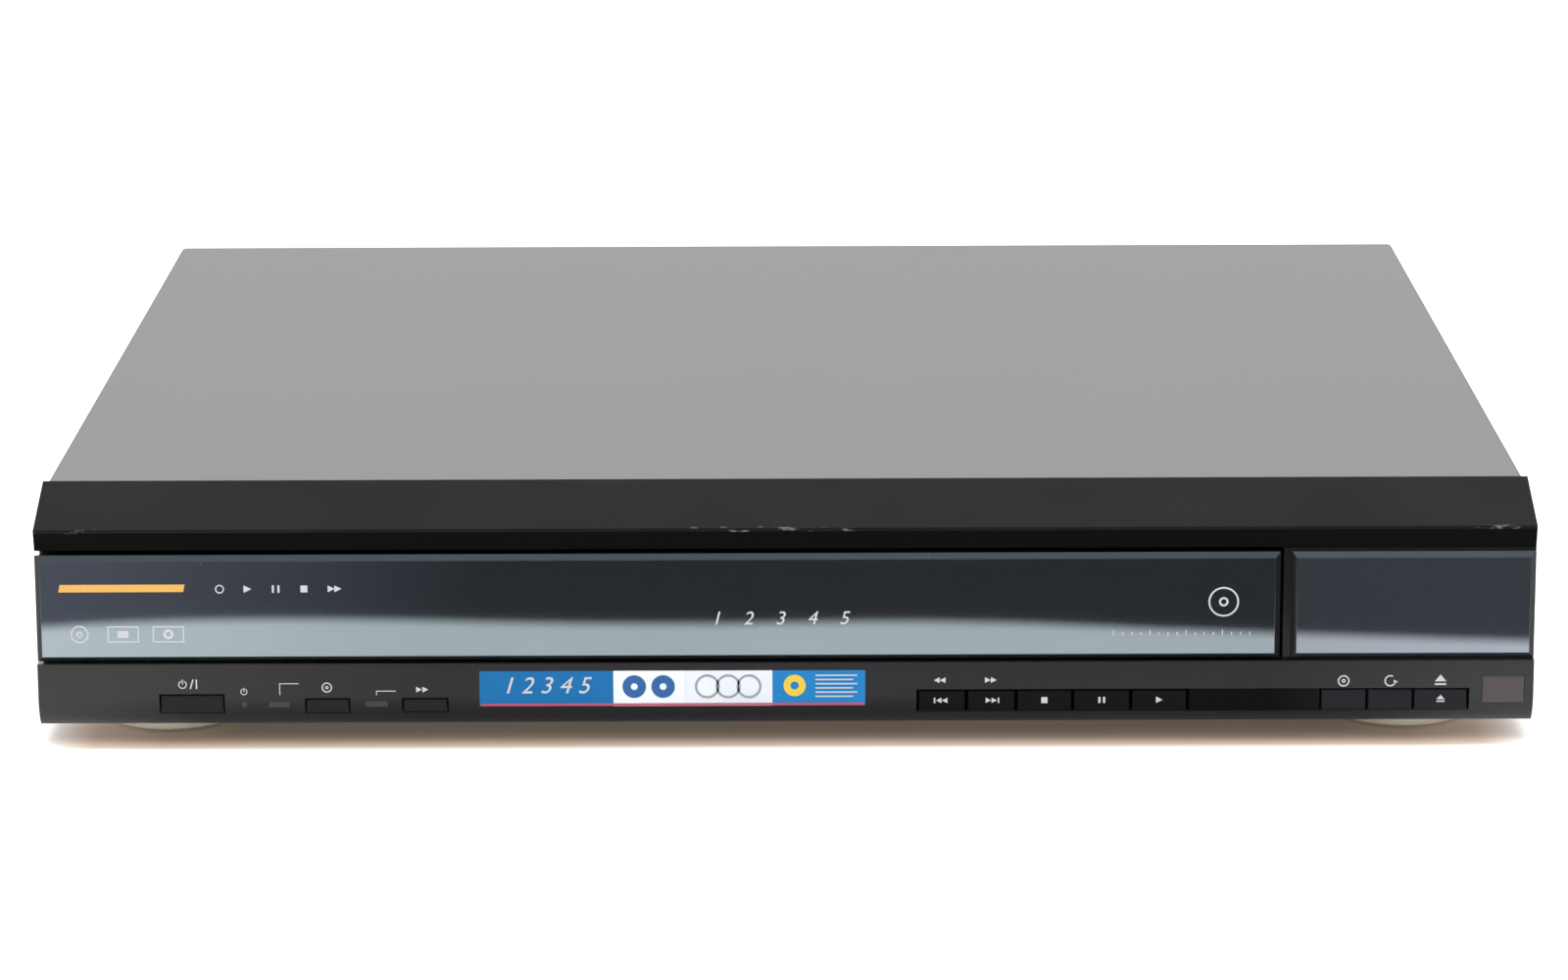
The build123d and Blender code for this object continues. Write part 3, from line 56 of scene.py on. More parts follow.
def feed(tree, node, links):
    # joins each input to its source: a socket, or a node that stands for the output it has in use
    for key, source in links.items():
        if hasattr(source, "outputs"):
            source = next(output for output in source.outputs if output.enabled)
        tree.links.new(source, node.inputs[key])


def addNode(tree, kind, settings=None, links=None):
    # one node with its properties, its input values and what feeds it
    # a map range's inputs 1 to 4: from, to and the values it gives there; a mix's inputs 6 and 7: its colours
    node = tree.nodes.new("ShaderNode" + kind)
    for key, value in (settings or {}).items():
        if isinstance(key, str) and hasattr(node, key):
            setattr(node, key, value)
        else:
            node.inputs[key].default_value = value
    feed(tree, node, links or {})
    return node


def newMaterial(name, shaderValues):
    # an empty material with one Principled shader, its fixed values on its own sockets
    material = bpy.data.materials.new(name)
    material.use_nodes = True
    tree = material.node_tree
    tree.nodes.clear()
    shader = addNode(tree, "BsdfPrincipled", shaderValues)
    addNode(tree, "OutputMaterial", links={"Surface": shader})
    return material, tree, shader


def objectPlace(tree, stretch=(1, 1, 1)):
    # places on the part itself, in metres, stretched where the pattern runs along one direction
    place = addNode(tree, "TexCoord")
    return addNode(tree, "Mapping", {"Scale": stretch}, {"Vector": place.outputs["Object"]})


def dust(tree, look):
    # sparse specks: one about every so many mm, size as a share of that, fewer with a higher rarity,
    # which comes and goes over patches four times as wide
    place = objectPlace(tree)
    specks = addNode(tree, "TexVoronoi", {"Scale": 1 / (look["dustEvery"] * mm)}, {"Vector": place})
    rare = addNode(tree, "TexNoise", {"Scale": 1 / (4 * look["dustEvery"] * mm)}, {"Vector": place})
    near = addNode(tree, "Math", {"operation": "LESS_THAN", 1: look["dustSize"]}, {0: specks})
    few = addNode(tree, "Math", {"operation": "GREATER_THAN", 1: look["dustRarity"]}, {0: rare})
    return addNode(tree, "Math", {"operation": "MULTIPLY"}, {0: near, 1: few})


def band(tree, source, low, high):
    # one where a place lies between two limits in mm, else nought
    above = addNode(tree, "Math", {"operation": "GREATER_THAN", 1: low * mm}, {0: source})
    below = addNode(tree, "Math", {"operation": "LESS_THAN", 1: high * mm}, {0: source})
    return addNode(tree, "Math", {"operation": "MULTIPLY"}, {0: above, 1: below})


def dress(material, *nodes):
    # gives carried-over parts their material
    for node in nodes:
        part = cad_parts[node]
        part.data.materials.clear()
        part.data.materials.append(material)


# Moulded and painted surfaces share this: a grain of a real size in mm, a tone that varies, softened edges
def grainedMaterial(name, look):
    material, tree, shader = newMaterial(name, look["shader"])
    place = objectPlace(tree, look.get("stretch", (1, 1, 1)))
    grain = addNode(tree, "TexNoise", {"Scale": 1 / (look["grainSize"] * mm), "Detail": 3.0},
                    {"Vector": place})
    cloud = addNode(tree, "TexNoise", {"Scale": 1 / (look["cloudSize"] * mm), "Detail": 4.0},
                    {"Vector": place})
    dark, light = linear(look["darkTone"]), linear(look["lightTone"])
    tone = addNode(tree, "Mix", {"data_type": "RGBA", 6: dark, 7: light}, {"Factor": cloud})
    if "raised" in look:
        # what stands above the board has its own colour, told by its height
        foot, partTone = look["raised"]
        axes = addNode(tree, "SeparateXYZ", links={0: objectPlace(tree)})
        above = addNode(tree, "Math", {"operation": "GREATER_THAN", 1: foot * mm}, {0: axes.outputs["Z"]})
        tone = addNode(tree, "Mix", {"data_type": "RGBA", 7: linear(partTone)}, {"Factor": above, 6: tone})
    rough = addNode(tree, "MapRange", dict(enumerate(noiseSpan + look["roughness"], 1)), {0: cloud})
    bump = addNode(tree, "Bump", {"Strength": look["grainDepth"], "Distance": bumpReach}, {"Height": grain})
    if "edgeRadius" in look:
        edge = addNode(tree, "Bevel", {"samples": 4, "Radius": look["edgeRadius"] * mm})
        feed(tree, bump, {"Normal": edge})
    feed(tree, shader, {"Base Color": tone, "Roughness": rough, "Normal": bump})
    return material, tree, shader, tone


# Satin baked enamel on the folded steel cover: a fine orange peel that greys the reflected backdrop
coverLook = {
    "shader": {"IOR": 1.6, "Specular IOR Level": 0.5, "Metallic": 0.0},
    "grainSize": 0.9, "cloudSize": 60.0, "grainDepth": 0.10, "roughness": (0.325, 0.335),
    "darkTone": "#2b2b2c", "lightTone": "#3f4041", "edgeRadius": 0.5,
    "dustEvery": 14.0, "dustSize": 0.018, "dustRarity": 0.54, "dustTone": "#8a8a88",
}


def satinEnamelSteel():
    look = coverLook
    material, tree, shader, tone = grainedMaterial("satinEnamelSteel", look)
    # a few pale dust specks, about half a millimetre across
    dusty = addNode(tree, "Mix", {"data_type": "RGBA", 7: linear(look["dustTone"])},
                    {"Factor": dust(tree, look), 6: tone})
    feed(tree, shader, {"Base Color": dusty})
    return material


# Moulded black ABS of the front: fine spark-eroded texture, rubbed paler along the nose of the brow
absLook = {
    "shader": {"IOR": 1.53, "Specular IOR Level": 0.42},
    "grainSize": 0.35, "cloudSize": 40.0, "grainDepth": 0.16, "roughness": (0.22, 0.28),
    "darkTone": "#161316", "lightTone": "#1a171b", "edgeRadius": 0.35,
    # the strip under the brow, darkened with painted shade, and the fixed blank between two keys
    "strip": (57.6, 63.4), "stripShadeTone": "#060607", "blankAlong": (115.9, 153.6), "blankUp": (9.7, 16.4),
    "blankTone": "#0b0b0e", "dullGloss": 0.05,
    # how far in the ends with painted light reach, in mm along X, and their height
    "leftEnd": (-200.0, -100.0), "rightEnd": (140.0, 200.0), "endUp": (5.0, 25.0), "endLightTone": "#29292a",
    # rubbed places along the nose: middle and half length
    "rubUp": (63.2, 64.5), "rubTone": "#767473", "rubPlaces": ((-3.0, 24.0), (-197.0, 9.0), (203.0, 7.0)),
    "streakSize": 1.1, "streakStretch": (0.3, 1, 1), "streakRange": (0.58, 0.72),
}


def mouldedAbs():
    look = absLook
    material, tree, shader, tone = grainedMaterial("mouldedAbs", look)
    axes = addNode(tree, "SeparateXYZ", links={0: objectPlace(tree)})
    x, z = axes.outputs["X"], axes.outputs["Z"]
    # painted shade: the strip under the brow is darkened as if in the brow's shadow, and the fixed blank has
    # its own darker tone; both barely shine
    strip = band(tree, z, *look["strip"])
    blank = addNode(tree, "Math", {"operation": "MULTIPLY"},
                    {0: band(tree, x, *look["blankAlong"]), 1: band(tree, z, *look["blankUp"])})
    dull = addNode(tree, "Math", {"operation": "MAXIMUM"}, {0: strip, 1: blank})
    fullGloss = look["shader"]["Specular IOR Level"]
    gloss = addNode(tree, "MapRange", {3: fullGloss, 4: look["dullGloss"]}, {0: dull})
    # painted light: the lower face is made a paler grey towards both ends, standing in for the light it
    # catches there
    low, high = (limit * mm for limit in look["leftEnd"])
    leftEnd = addNode(tree, "MapRange", {1: low, 2: high, 3: 1, 4: 0}, {0: x})
    low, high = (limit * mm for limit in look["rightEnd"])
    rightEnd = addNode(tree, "MapRange", {1: low, 2: high}, {0: x})
    ends = addNode(tree, "Math", {"operation": "ADD"}, {0: leftEnd, 1: rightEnd})
    litEnds = addNode(tree, "Math", {"operation": "MULTIPLY"}, {0: ends, 1: band(tree, z, *look["endUp"])})
    # rubbed streaks on the nose, only at a few places along it
    streaks = addNode(tree, "TexNoise", {"Scale": 1 / (look["streakSize"] * mm), "Detail": 4.0},
                      {"Vector": objectPlace(tree, look["streakStretch"])})
    worn = addNode(tree, "MapRange", dict(enumerate(look["streakRange"], 1)), {0: streaks})
    rubbed = addNode(tree, "Math", {"operation": "MULTIPLY"}, {0: worn, 1: band(tree, z, *look["rubUp"])})
    here = [band(tree, x, middle - half, middle + half) for middle, half in look["rubPlaces"]]
    where = here[0]
    for place in here[1:]:
        where = addNode(tree, "Math", {"operation": "MAXIMUM"}, {0: where, 1: place})
    rubbed = addNode(tree, "Math", {"operation": "MULTIPLY"}, {0: rubbed, 1: where})
    # tones laid over: painted shade on the strip, the blank's own tone, painted light on the ends, then the
    # rubbed wear
    for mask, over in ((strip, "stripShadeTone"), (blank, "blankTone"), (litEnds, "endLightTone"), (rubbed, "rubTone")):
        tone = addNode(tree, "Mix", {"data_type": "RGBA", 7: linear(look[over])}, {"Factor": mask, 6: tone})
    feed(tree, shader, {"Base Color": tone, "Specular IOR Level": gloss})
    return material


# Smoked acrylic with a vacuum-metallised back: a dark bluish half mirror with a slight warp and dust
windowLook = {
    "shader": {"IOR": 1.49},
    "door": {"name": "metallisedAcrylic", "tint": "#a5b2b8", "metallic": 0.975},
    "display": {"name": "displayAcrylic", "tint": "#a7afba", "metallic": 0.945},
    # ranges of a noise: from, to and the values that it gives there
    "smearSize": 22.0, "smearLevel": 0.93, "smearRange": (0.35, 0.75, 0.0, 0.5),
    "fineSize": 0.5, "roughRange": (0.4, 0.8, 0.03, 0.09),
    "dustEvery": 9.0, "dustSize": 0.022, "dustRarity": 0.5, "dustTone": "#8b8f94",
    "cutSlope": 0.3, "cutTone": "#303134", "bareMetallic": 0.5,
    "warpSize": 70.0, "warpStretch": (1, 1, 0.4), "edgeRadius": 0.15,
}


def smokedAcrylic(window):
    look, own = windowLook, windowLook[window]
    material, tree, shader = newMaterial(own["name"], look["shader"])
    place = objectPlace(tree)
    smear = addNode(tree, "TexNoise", {"Scale": 1 / (look["smearSize"] * mm), "Detail": 5.0},
                    {"Vector": place})
    smeared = addNode(tree, "MapRange", dict(enumerate(look["smearRange"], 1)), {0: smear})
    tone = addNode(tree, "Mix", {"data_type": "RGBA", 6: linear(own["tint"]),
                                 7: linear(own["tint"], look["smearLevel"])}, {"Factor": smeared})
    # specks of dust lie on the half mirror and are not metal
    specks = dust(tree, look)
    # the cut ends of the sheet have no metal behind them
    facing = addNode(tree, "TexCoord")
    across = addNode(tree, "SeparateXYZ", links={0: facing.outputs["Normal"]})
    slope = addNode(tree, "Math", {"operation": "ABSOLUTE"}, {0: across.outputs["X"]})
    cut = addNode(tree, "Math", {"operation": "GREATER_THAN", 1: look["cutSlope"]}, {0: slope})
    for mask, over in ((specks, "dustTone"), (cut, "cutTone")):
        tone = addNode(tree, "Mix", {"data_type": "RGBA", 7: linear(look[over])}, {"Factor": mask, 6: tone})
    bare = addNode(tree, "Math", {"operation": "MAXIMUM"}, {0: specks, 1: cut})
    metal = addNode(tree, "MapRange", {3: own["metallic"], 4: look["bareMetallic"]}, {0: bare})
    fine = addNode(tree, "TexNoise", {"Scale": 1 / (look["fineSize"] * mm), "Detail": 2.0}, {"Vector": place})
    rough = addNode(tree, "MapRange", dict(enumerate(look["roughRange"], 1)), {0: fine})
    warp = addNode(tree, "TexNoise", {"Scale": 1 / (look["warpSize"] * mm), "Detail": 0.0},
                   {"Vector": objectPlace(tree, look["warpStretch"])})
    edge = addNode(tree, "Bevel", {"samples": 4, "Radius": look["edgeRadius"] * mm})
    bump = addNode(tree, "Bump", {"Strength": 1.0, "Distance": bumpReach}, {"Height": warp, "Normal": edge})
    feed(tree, shader, {"Base Color": tone, "Metallic": metal, "Roughness": rough, "Normal": bump})
    return material


# Everyday finishes, one entry each: what it is, and what the entry gives the eye
plainLooks = {
    # polished black key tops, almost mirror black
    "polishedKeyAbs": {"shader": {"IOR": 1.5, "Specular IOR Level": 0.12}, "grainSize": 0.8, "cloudSize": 9.0,
                       "grainDepth": 0.02, "roughness": (0.10, 0.18), "darkTone": "#050506",
                       "lightTone": "#0a0a0b", "edgeRadius": 0.2},
    # satin key tops, a bluish charcoal under the studio light
    "satinKeyAbs": {"shader": {"IOR": 1.53, "Specular IOR Level": 0.22}, "grainSize": 0.3, "cloudSize": 9.0,
                    "grainDepth": 0.10, "roughness": (0.24, 0.32), "darkTone": "#15161b",
                    "lightTone": "#1a1b20", "edgeRadius": 0.25},
    # deep black ABS inside the door recess
    "carrierAbs": {"shader": {"IOR": 1.53}, "grainSize": 0.5, "cloudSize": 20.0, "grainDepth": 0.15,
                   "roughness": (0.4, 0.5), "darkTone": "#0c0c0d", "lightTone": "#121213", "edgeRadius": 0.3},
    # smoky light pipes
    "smokedLens": {"shader": {"IOR": 1.49}, "grainSize": 0.6, "cloudSize": 4.0, "grainDepth": 0.05,
                   "roughness": (0.15, 0.25), "darkTone": "#2f2e31", "lightTone": "#3b3a3d",
                   "edgeRadius": 0.1},
    # dark red-grey filter over the remote receiver
    "filterAcrylic": {"shader": {"IOR": 1.49}, "grainSize": 0.6, "cloudSize": 5.0, "grainDepth": 0.05,
                      "roughness": (0.18, 0.26), "darkTone": "#453c40", "lightTone": "#4d4448",
                      "edgeRadius": 0.2},
    # zinc-plated sheet with soft spangle
    "zincSheet": {"shader": {"Metallic": 1.0}, "grainSize": 2.2, "cloudSize": 7.0, "grainDepth": 0.06,
                  "roughness": (0.32, 0.48), "darkTone": "#9fa2a4", "lightTone": "#c6c8ca",
                  "edgeRadius": 0.2},
    # black painted rear sheet
    "satinRearSteel": {"shader": {"IOR": 1.5}, "grainSize": 0.7, "cloudSize": 24.0, "grainDepth": 0.12,
                       "roughness": (0.36, 0.44), "darkTone": "#202021", "lightTone": "#272728",
                       "edgeRadius": 0.2},
    # matt rubber
    "blackRubber": {"shader": {"IOR": 1.52}, "grainSize": 0.6, "cloudSize": 8.0, "grainDepth": 0.25,
                    "roughness": (0.7, 0.85), "darkTone": "#141414", "lightTone": "#1c1c1c",
                    "edgeRadius": 0.4},
    # blackened screw steel
    "blackOxide": {"shader": {"Metallic": 0.8}, "grainSize": 0.5, "cloudSize": 3.0, "grainDepth": 0.08,
                   "roughness": (0.3, 0.42), "darkTone": "#2a2a2b", "lightTone": "#38383a",
                   "edgeRadius": 0.3},
    # green solder mask over fibre glass
    "solderMask": {"shader": {"IOR": 1.5}, "grainSize": 1.4, "cloudSize": 12.0, "grainDepth": 0.12,
                   "roughness": (0.25, 0.38), "darkTone": "#1c5a33", "lightTone": "#2a7042"},
    # the same under its black chips
    "chippedMask": {"shader": {"IOR": 1.5}, "grainSize": 1.4, "cloudSize": 12.0, "grainDepth": 0.12,
                    "roughness": (0.25, 0.38), "darkTone": "#1c5a33", "lightTone": "#2a7042",
                    "raised": (13.15, "#1b1b1c")},
    # brown phenolic paper board
    "phenolicPaper": {"shader": {"IOR": 1.5}, "grainSize": 1.0, "cloudSize": 14.0, "grainDepth": 0.1,
                      "roughness": (0.4, 0.52), "darkTone": "#8a6436", "lightTone": "#a27a48",
                      "raised": (13.15, "#2b2c30")},
    # dull black parts on the boards
    "blackPart": {"shader": {"IOR": 1.5}, "grainSize": 0.4, "cloudSize": 5.0, "grainDepth": 0.1,
                  "roughness": (0.4, 0.5), "darkTone": "#161617", "lightTone": "#1f1f20", "edgeRadius": 0.2},
    # greenish tube glass
    "tubeGlass": {"shader": {"IOR": 1.52, "Transmission Weight": 0.35}, "grainSize": 2.0, "cloudSize": 9.0,
                  "grainDepth": 0.02, "roughness": (0.04, 0.08), "darkTone": "#1b2a28",
                  "lightTone": "#243532"},
    # yellow-brown wound ferrite
    "woundFerrite": {"shader": {"IOR": 1.5}, "grainSize": 0.8, "cloudSize": 6.0, "grainDepth": 0.3,
                     "roughness": (0.45, 0.6), "stretch": (1, 1, 6), "darkTone": "#3b3220",
                     "lightTone": "#5d4c26", "edgeRadius": 0.3},
    # charcoal glass-filled plastic of the mechanism
    "filledAbs": {"shader": {"IOR": 1.53}, "grainSize": 0.8, "cloudSize": 16.0, "grainDepth": 0.2,
                  "roughness": (0.42, 0.55), "darkTone": "#1c1d1f", "lightTone": "#26272a",
                  "edgeRadius": 0.3},
    # satin black tray and carousel
    "trayStyrene": {"shader": {"IOR": 1.57}, "grainSize": 0.45, "cloudSize": 22.0, "grainDepth": 0.14,
                    "roughness": (0.30, 0.40), "darkTone": "#18181a", "lightTone": "#1f1f22",
                    "edgeRadius": 0.3},
    # waxy white acetal gears
    "whiteAcetal": {"grainSize": 0.6, "cloudSize": 6.0, "grainDepth": 0.05, "roughness": (0.3, 0.4),
                    "shader": {"IOR": 1.48, "Subsurface Weight": 0.08, "Subsurface Radius": (mm, mm, mm)},
                    "darkTone": "#dcd9cf", "lightTone": "#ebe8df", "edgeRadius": 0.1},
    # bright nickel-plated motor cans
    "nickelCan": {"shader": {"Metallic": 1.0}, "grainSize": 0.5, "cloudSize": 7.0, "grainDepth": 0.04,
                  "roughness": (0.2, 0.3), "darkTone": "#a8a8a6", "lightTone": "#c0bfbc", "edgeRadius": 0.3},
    # ground steel rods
    "groundSteel": {"shader": {"Metallic": 1.0}, "grainSize": 0.3, "cloudSize": 5.0, "grainDepth": 0.05,
                    "roughness": (0.12, 0.2), "stretch": (1, 30, 1), "darkTone": "#b4b4b5",
                    "lightTone": "#d0d0d1"},
    # coated pickup lens
    "coatedLens": {"shader": {"IOR": 1.6, "Transmission Weight": 0.5}, "grainSize": 1.0, "cloudSize": 4.0,
                   "grainDepth": 0.0, "roughness": (0.03, 0.06), "darkTone": "#4a5a8c",
                   "lightTone": "#5d6ca0"},
}
plainNodes = {
    "polishedKeyAbs": ["skip_back_button", "skip_forward_button", "stop_button", "pause_button",
                       "play_button"],
    "satinKeyAbs": ["power_button", "surround_button", "sequential_button", "exchange_button",
                    "disc_skip_button", "open_button"],
    "carrierAbs": ["tray_door"],
    "smokedLens": ["indicator_lenses"],
    "filterAcrylic": ["sensor_window"],
    "zincSheet": ["chassis_pan", "clamper_bridge"],
    "satinRearSteel": ["rear_panel"],
    "blackRubber": ["rear_feet", "tray_belt"],
    "blackOxide": ["case_screws"],
    "solderMask": ["front_board"],
    "chippedMask": ["main_board"],
    "phenolicPaper": ["power_board", "jack_board"],
    "blackPart": ["tact_switches", "power_inlet", "signal_sockets", "turntable", "pickup"],
    "tubeGlass": ["display_tube"],
    "woundFerrite": ["transformer"],
    "filledAbs": ["mechanism_base", "side_rails", "drive_bracket", "traverse_frame"],
    "trayStyrene": ["tray", "tray_surround", "carousel", "carousel_retainer", "ring_gear"],
    "whiteAcetal": ["carousel_hub", "carousel_gear", "carousel_pinion", "tray_rack", "tray_gear",
                    "motor_pulley", "clamper"],
    "nickelCan": ["carousel_motor", "tray_motor", "spindle_motor", "sled_motor"],
    "groundSteel": ["guide_rods", "lead_screw"],
    "coatedLens": ["pickup_lens"],
}

# Champagne gold lacquer over turned rings, with a black felt pad under each foot
footLook = {"shader": {"Metallic": 0.2, "Roughness": 0.3}, "gold": "#fff3dc", "goldDark": "#efdab6",
            "felt": "#151515", "ringPitch": 5.0265, "feltTop": 1.0}


def turnedGold():
    look = footLook
    material, tree, shader = newMaterial("turnedGold", look["shader"])
    place = objectPlace(tree)
    axes = addNode(tree, "SeparateXYZ", links={0: place})
    # a band texture turns 20 radians for each unit of its scale
    scale = 2 * math.pi / (20 * look["ringPitch"] * mm)
    rings = addNode(tree, "TexWave", {"wave_type": "BANDS", "bands_direction": "Z", "Scale": scale},
                    {"Vector": place})
    tone = addNode(tree, "Mix", {"data_type": "RGBA", 6: linear(look["goldDark"]), 7: linear(look["gold"])},
                   {"Factor": rings.outputs["Fac"]})
    felt = addNode(tree, "Math", {"operation": "LESS_THAN", 1: look["feltTop"] * mm}, {0: axes.outputs["Z"]})
    padded = addNode(tree, "Mix", {"data_type": "RGBA", 7: linear(look["felt"])}, {"Factor": felt, 6: tone})
    feed(tree, shader, {"Base Color": padded})
    return material


# Phono jacks: nickel shells round a moulded plug, each with its own ring colour at the panel
jackLook = {
    "shader": {"Roughness": 0.28}, "nickel": "#c3c2bd", "bodyTone": "#151515",
    "middleX": -105.0, "middleZ": 28.0, "pitch": 14.0,
    "shellRadius": 3.5, "boreRadius": 1.7, "collarFrom": 187.45, "collarTo": 188.35,
    # upper and lower ring, first of the pair at the lower X
    "rings": (("#d8d6d0", "#b3262a"), ("#d9b22e", "#c4591f")),
}


def nickelJack():
    look = jackLook
    material, tree, shader = newMaterial("nickelJack", look["shader"])
    axes = addNode(tree, "SeparateXYZ", links={0: objectPlace(tree)})
    x, y, z = (axes.outputs[axis] for axis in "XYZ")
    # how far a point lies from the middle of its own jack
    fromMiddle = []
    for source, middle in ((x, look["middleX"]), (z, look["middleZ"])):
        moved = addNode(tree, "Math", {"operation": "SUBTRACT", 1: middle * mm}, {0: source})
        inCell = addNode(tree, "Math", {"operation": "FLOORED_MODULO", 1: look["pitch"] * mm}, {0: moved})
        offset = addNode(tree, "Math", {"operation": "SUBTRACT", 1: look["pitch"] / 2 * mm}, {0: inCell})
        fromMiddle.append(offset)
    spot = addNode(tree, "CombineXYZ", links=dict(enumerate(fromMiddle)))
    away = addNode(tree, "VectorMath", {"operation": "LENGTH"}, {0: spot})
    # one where a point lies past each limit, else nought
    past = {limit: addNode(tree, "Math", {"operation": "GREATER_THAN", 1: look[limit] * mm}, {0: source})
            for limit, source in (("middleX", x), ("middleZ", z), ("collarFrom", y), ("collarTo", y),
                                  ("shellRadius", away), ("boreRadius", away))}
    lowPair, highPair = (addNode(tree, "Mix", {"data_type": "RGBA", 6: linear(lower), 7: linear(upper)},
                                 {"Factor": past["middleZ"]}) for upper, lower in look["rings"])
    ringTone = addNode(tree, "Mix", {"data_type": "RGBA"},
                       {"Factor": past["middleX"], 6: lowPair, 7: highPair})
    collar = addNode(tree, "Mix", {"data_type": "RGBA", 6: linear(look["bodyTone"])},
                     {"Factor": past["collarFrom"], 7: ringTone})
    bored = addNode(tree, "Mix", {"data_type": "RGBA", 6: linear(look["bodyTone"])},
                    {"Factor": past["boreRadius"], 7: collar})
    shell = addNode(tree, "Math", {"operation": "MULTIPLY"}, {0: past["collarTo"], 1: past["shellRadius"]})
    plated = addNode(tree, "Mix", {"data_type": "RGBA", 7: linear(look["nickel"])},
                     {"Factor": shell, 6: bored})
    feed(tree, shader, {"Base Color": plated, "Metallic": shell})
    return material


dress(satinEnamelSteel(), "top_cover")
dress(mouldedAbs(), "front_panel")
dress(smokedAcrylic("door"), "door_window")
dress(smokedAcrylic("display"), "display_window")
dress(turnedGold(), "front_feet")
dress(nickelJack(), "rca_jacks")
for lookName, parts in plainNodes.items():
    dress(grainedMaterial(lookName, plainLooks[lookName])[0], *parts)
print("materials made")

# Printed marks: flat shapes in mm on the front, each a thin closed film that rides with what it is printed on
inkLooks = {
    "whiteInk": {"tone": "#c9c9cb", "roughness": 0.5},
    "goldInk": {"tone": "#e8b05a", "roughness": 0.35},
    "greyInk": {"tone": "#9a9a9d", "roughness": 0.5},
    "blueInk": {"tone": "#1d5f9e", "roughness": 0.4},
    "yellowInk": {"tone": "#e9c53a", "roughness": 0.4},
}
inkDepth = 0.04  # mm
inkMottle = {"size": 0.4, "level": 0.86}


def screenInk(name, look):
    # screen-printed ink, with a slight mottle so that it isn't dead flat
    material, tree, shader = newMaterial(name, {"Roughness": look["roughness"], "IOR": 1.5})
    mottle = addNode(tree, "TexNoise", {"Scale": 1 / (inkMottle["size"] * mm), "Detail": 2.0},
                     {"Vector": objectPlace(tree)})
    dark, full = linear(look["tone"], inkMottle["level"]), linear(look["tone"])
    tone = addNode(tree, "Mix", {"data_type": "RGBA", 6: dark, 7: full}, {"Factor": mottle})
    feed(tree, shader, {"Base Color": tone})
    return material


inks = {name: screenInk(name, look) for name, look in inkLooks.items()}


def bar(left, right, low, high):
    return [(left, low), (right, low), (right, high), (left, high)]


def slanted(points, lean):
    # leans a shape to the right, as italic print does
    low = min(z for x, z in points)
    return [(x + lean * (z - low), z) for x, z in points]


def ring(x, z, outer, inner, start=0, end=360, steps=24):
    # a ring or an open arc as a run of small quads
    shapes = []
    for step in range(steps):
        here, after = (math.radians(start + (end - start) * (step + part) / steps) for part in (0, 1))
        corners = ((outer, here), (outer, after), (inner, after), (inner, here))
        shapes.append([(x + far * math.cos(angle), z + far * math.sin(angle)) for far, angle in corners])
    return shapes


def framed(left, right, low, high, rule):
    # a thin rectangular frame as four bars
    inside = (low + rule, high - rule)
    return [bar(left, right, low, low + rule), bar(left, right, high - rule, high),
            bar(left, left + rule, *inside), bar(right - rule, right, *inside)]


def arrow(x, z, size, way=1):
    # a solid triangle that points left or right
    return [(x - way * size / 2, z - size / 2), (x + way * size / 2, z), (x - way * size / 2, z + size / 2)]


def discSign(x, z, outer, inner, hub, hole, hubSteps):
    # a small disc: its rim and its hub
    return ring(x, z, outer, inner) + ring(x, z, hub, hole, steps=hubSteps)


def powerSign(x, z, outer, inner, steps, half, rise):
    # a ring that is open at the top, with a bar in its gap
    return ring(x, z, outer, inner, 115, 425, steps) + [bar(x - half, x + half, z, z + rise)]


def addObject(name, data):
    # puts a mesh, a curve, a lamp or a camera into the scene
    thing = bpy.data.objects.new(name, data)
    bpy.context.scene.collection.objects.link(thing)
    return thing


def filmObject(name, build, material):
    # ends a film: the built faces become one object of one material
    mesh = bpy.data.meshes.new(name)
    bmesh.ops.recalc_face_normals(build, faces=build.faces)
    build.to_mesh(mesh)
    build.free()
    mesh.materials.append(material)
    return addObject(name, mesh)


def printed(name, shapes, ink, body, y=frontY):
    # closed films of ink from flat outlines given in mm
    build = bmesh.new()
    for shape in shapes:
        back = [build.verts.new((x * mm, y, z * mm)) for x, z in shape]
        front = [build.verts.new((x * mm, y - inkDepth * mm, z * mm)) for x, z in shape]
        build.faces.new(front)
        build.faces.new(list(reversed(back)))
        for index in range(len(shape)):
            after = (index + 1) % len(shape)
            build.faces.new((back[index], back[after], front[after], front[index]))
    piece = filmObject(name, build, inks[ink])
    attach(piece, body)


def numeral(name, text, x, z, height, ink, body, y=frontY, lean=0.0, spacing=1.0):
    # plain numbers set in Blender's own face, as a thin closed mesh
    curve = bpy.data.curves.new(name, "FONT")
    curve.body = text
    curve.size = height * 1.4 * mm  # a figure is about 1 / 1.4 of the face's size
    curve.extrude = inkDepth / 2 * mm
    curve.shear = lean
    curve.space_character = spacing
    curve.align_x = "CENTER"
    curve.align_y = "CENTER"
    curve.resolution_u = 4
    source = addObject(name + "Outline", curve)
    bpy.context.view_layer.update()
    mesh = bpy.data.meshes.new_from_object(source)
    bpy.data.objects.remove(source)
    mesh.transform(Matrix.Rotation(math.radians(90), 4, "X"))
    mesh.transform(Matrix.Translation((x * mm, y - inkDepth / 2 * mm, z * mm)))
    mesh.materials.clear()
    mesh.materials.append(inks[ink])
    piece = addObject(name, mesh)
    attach(piece, body)
    return piece


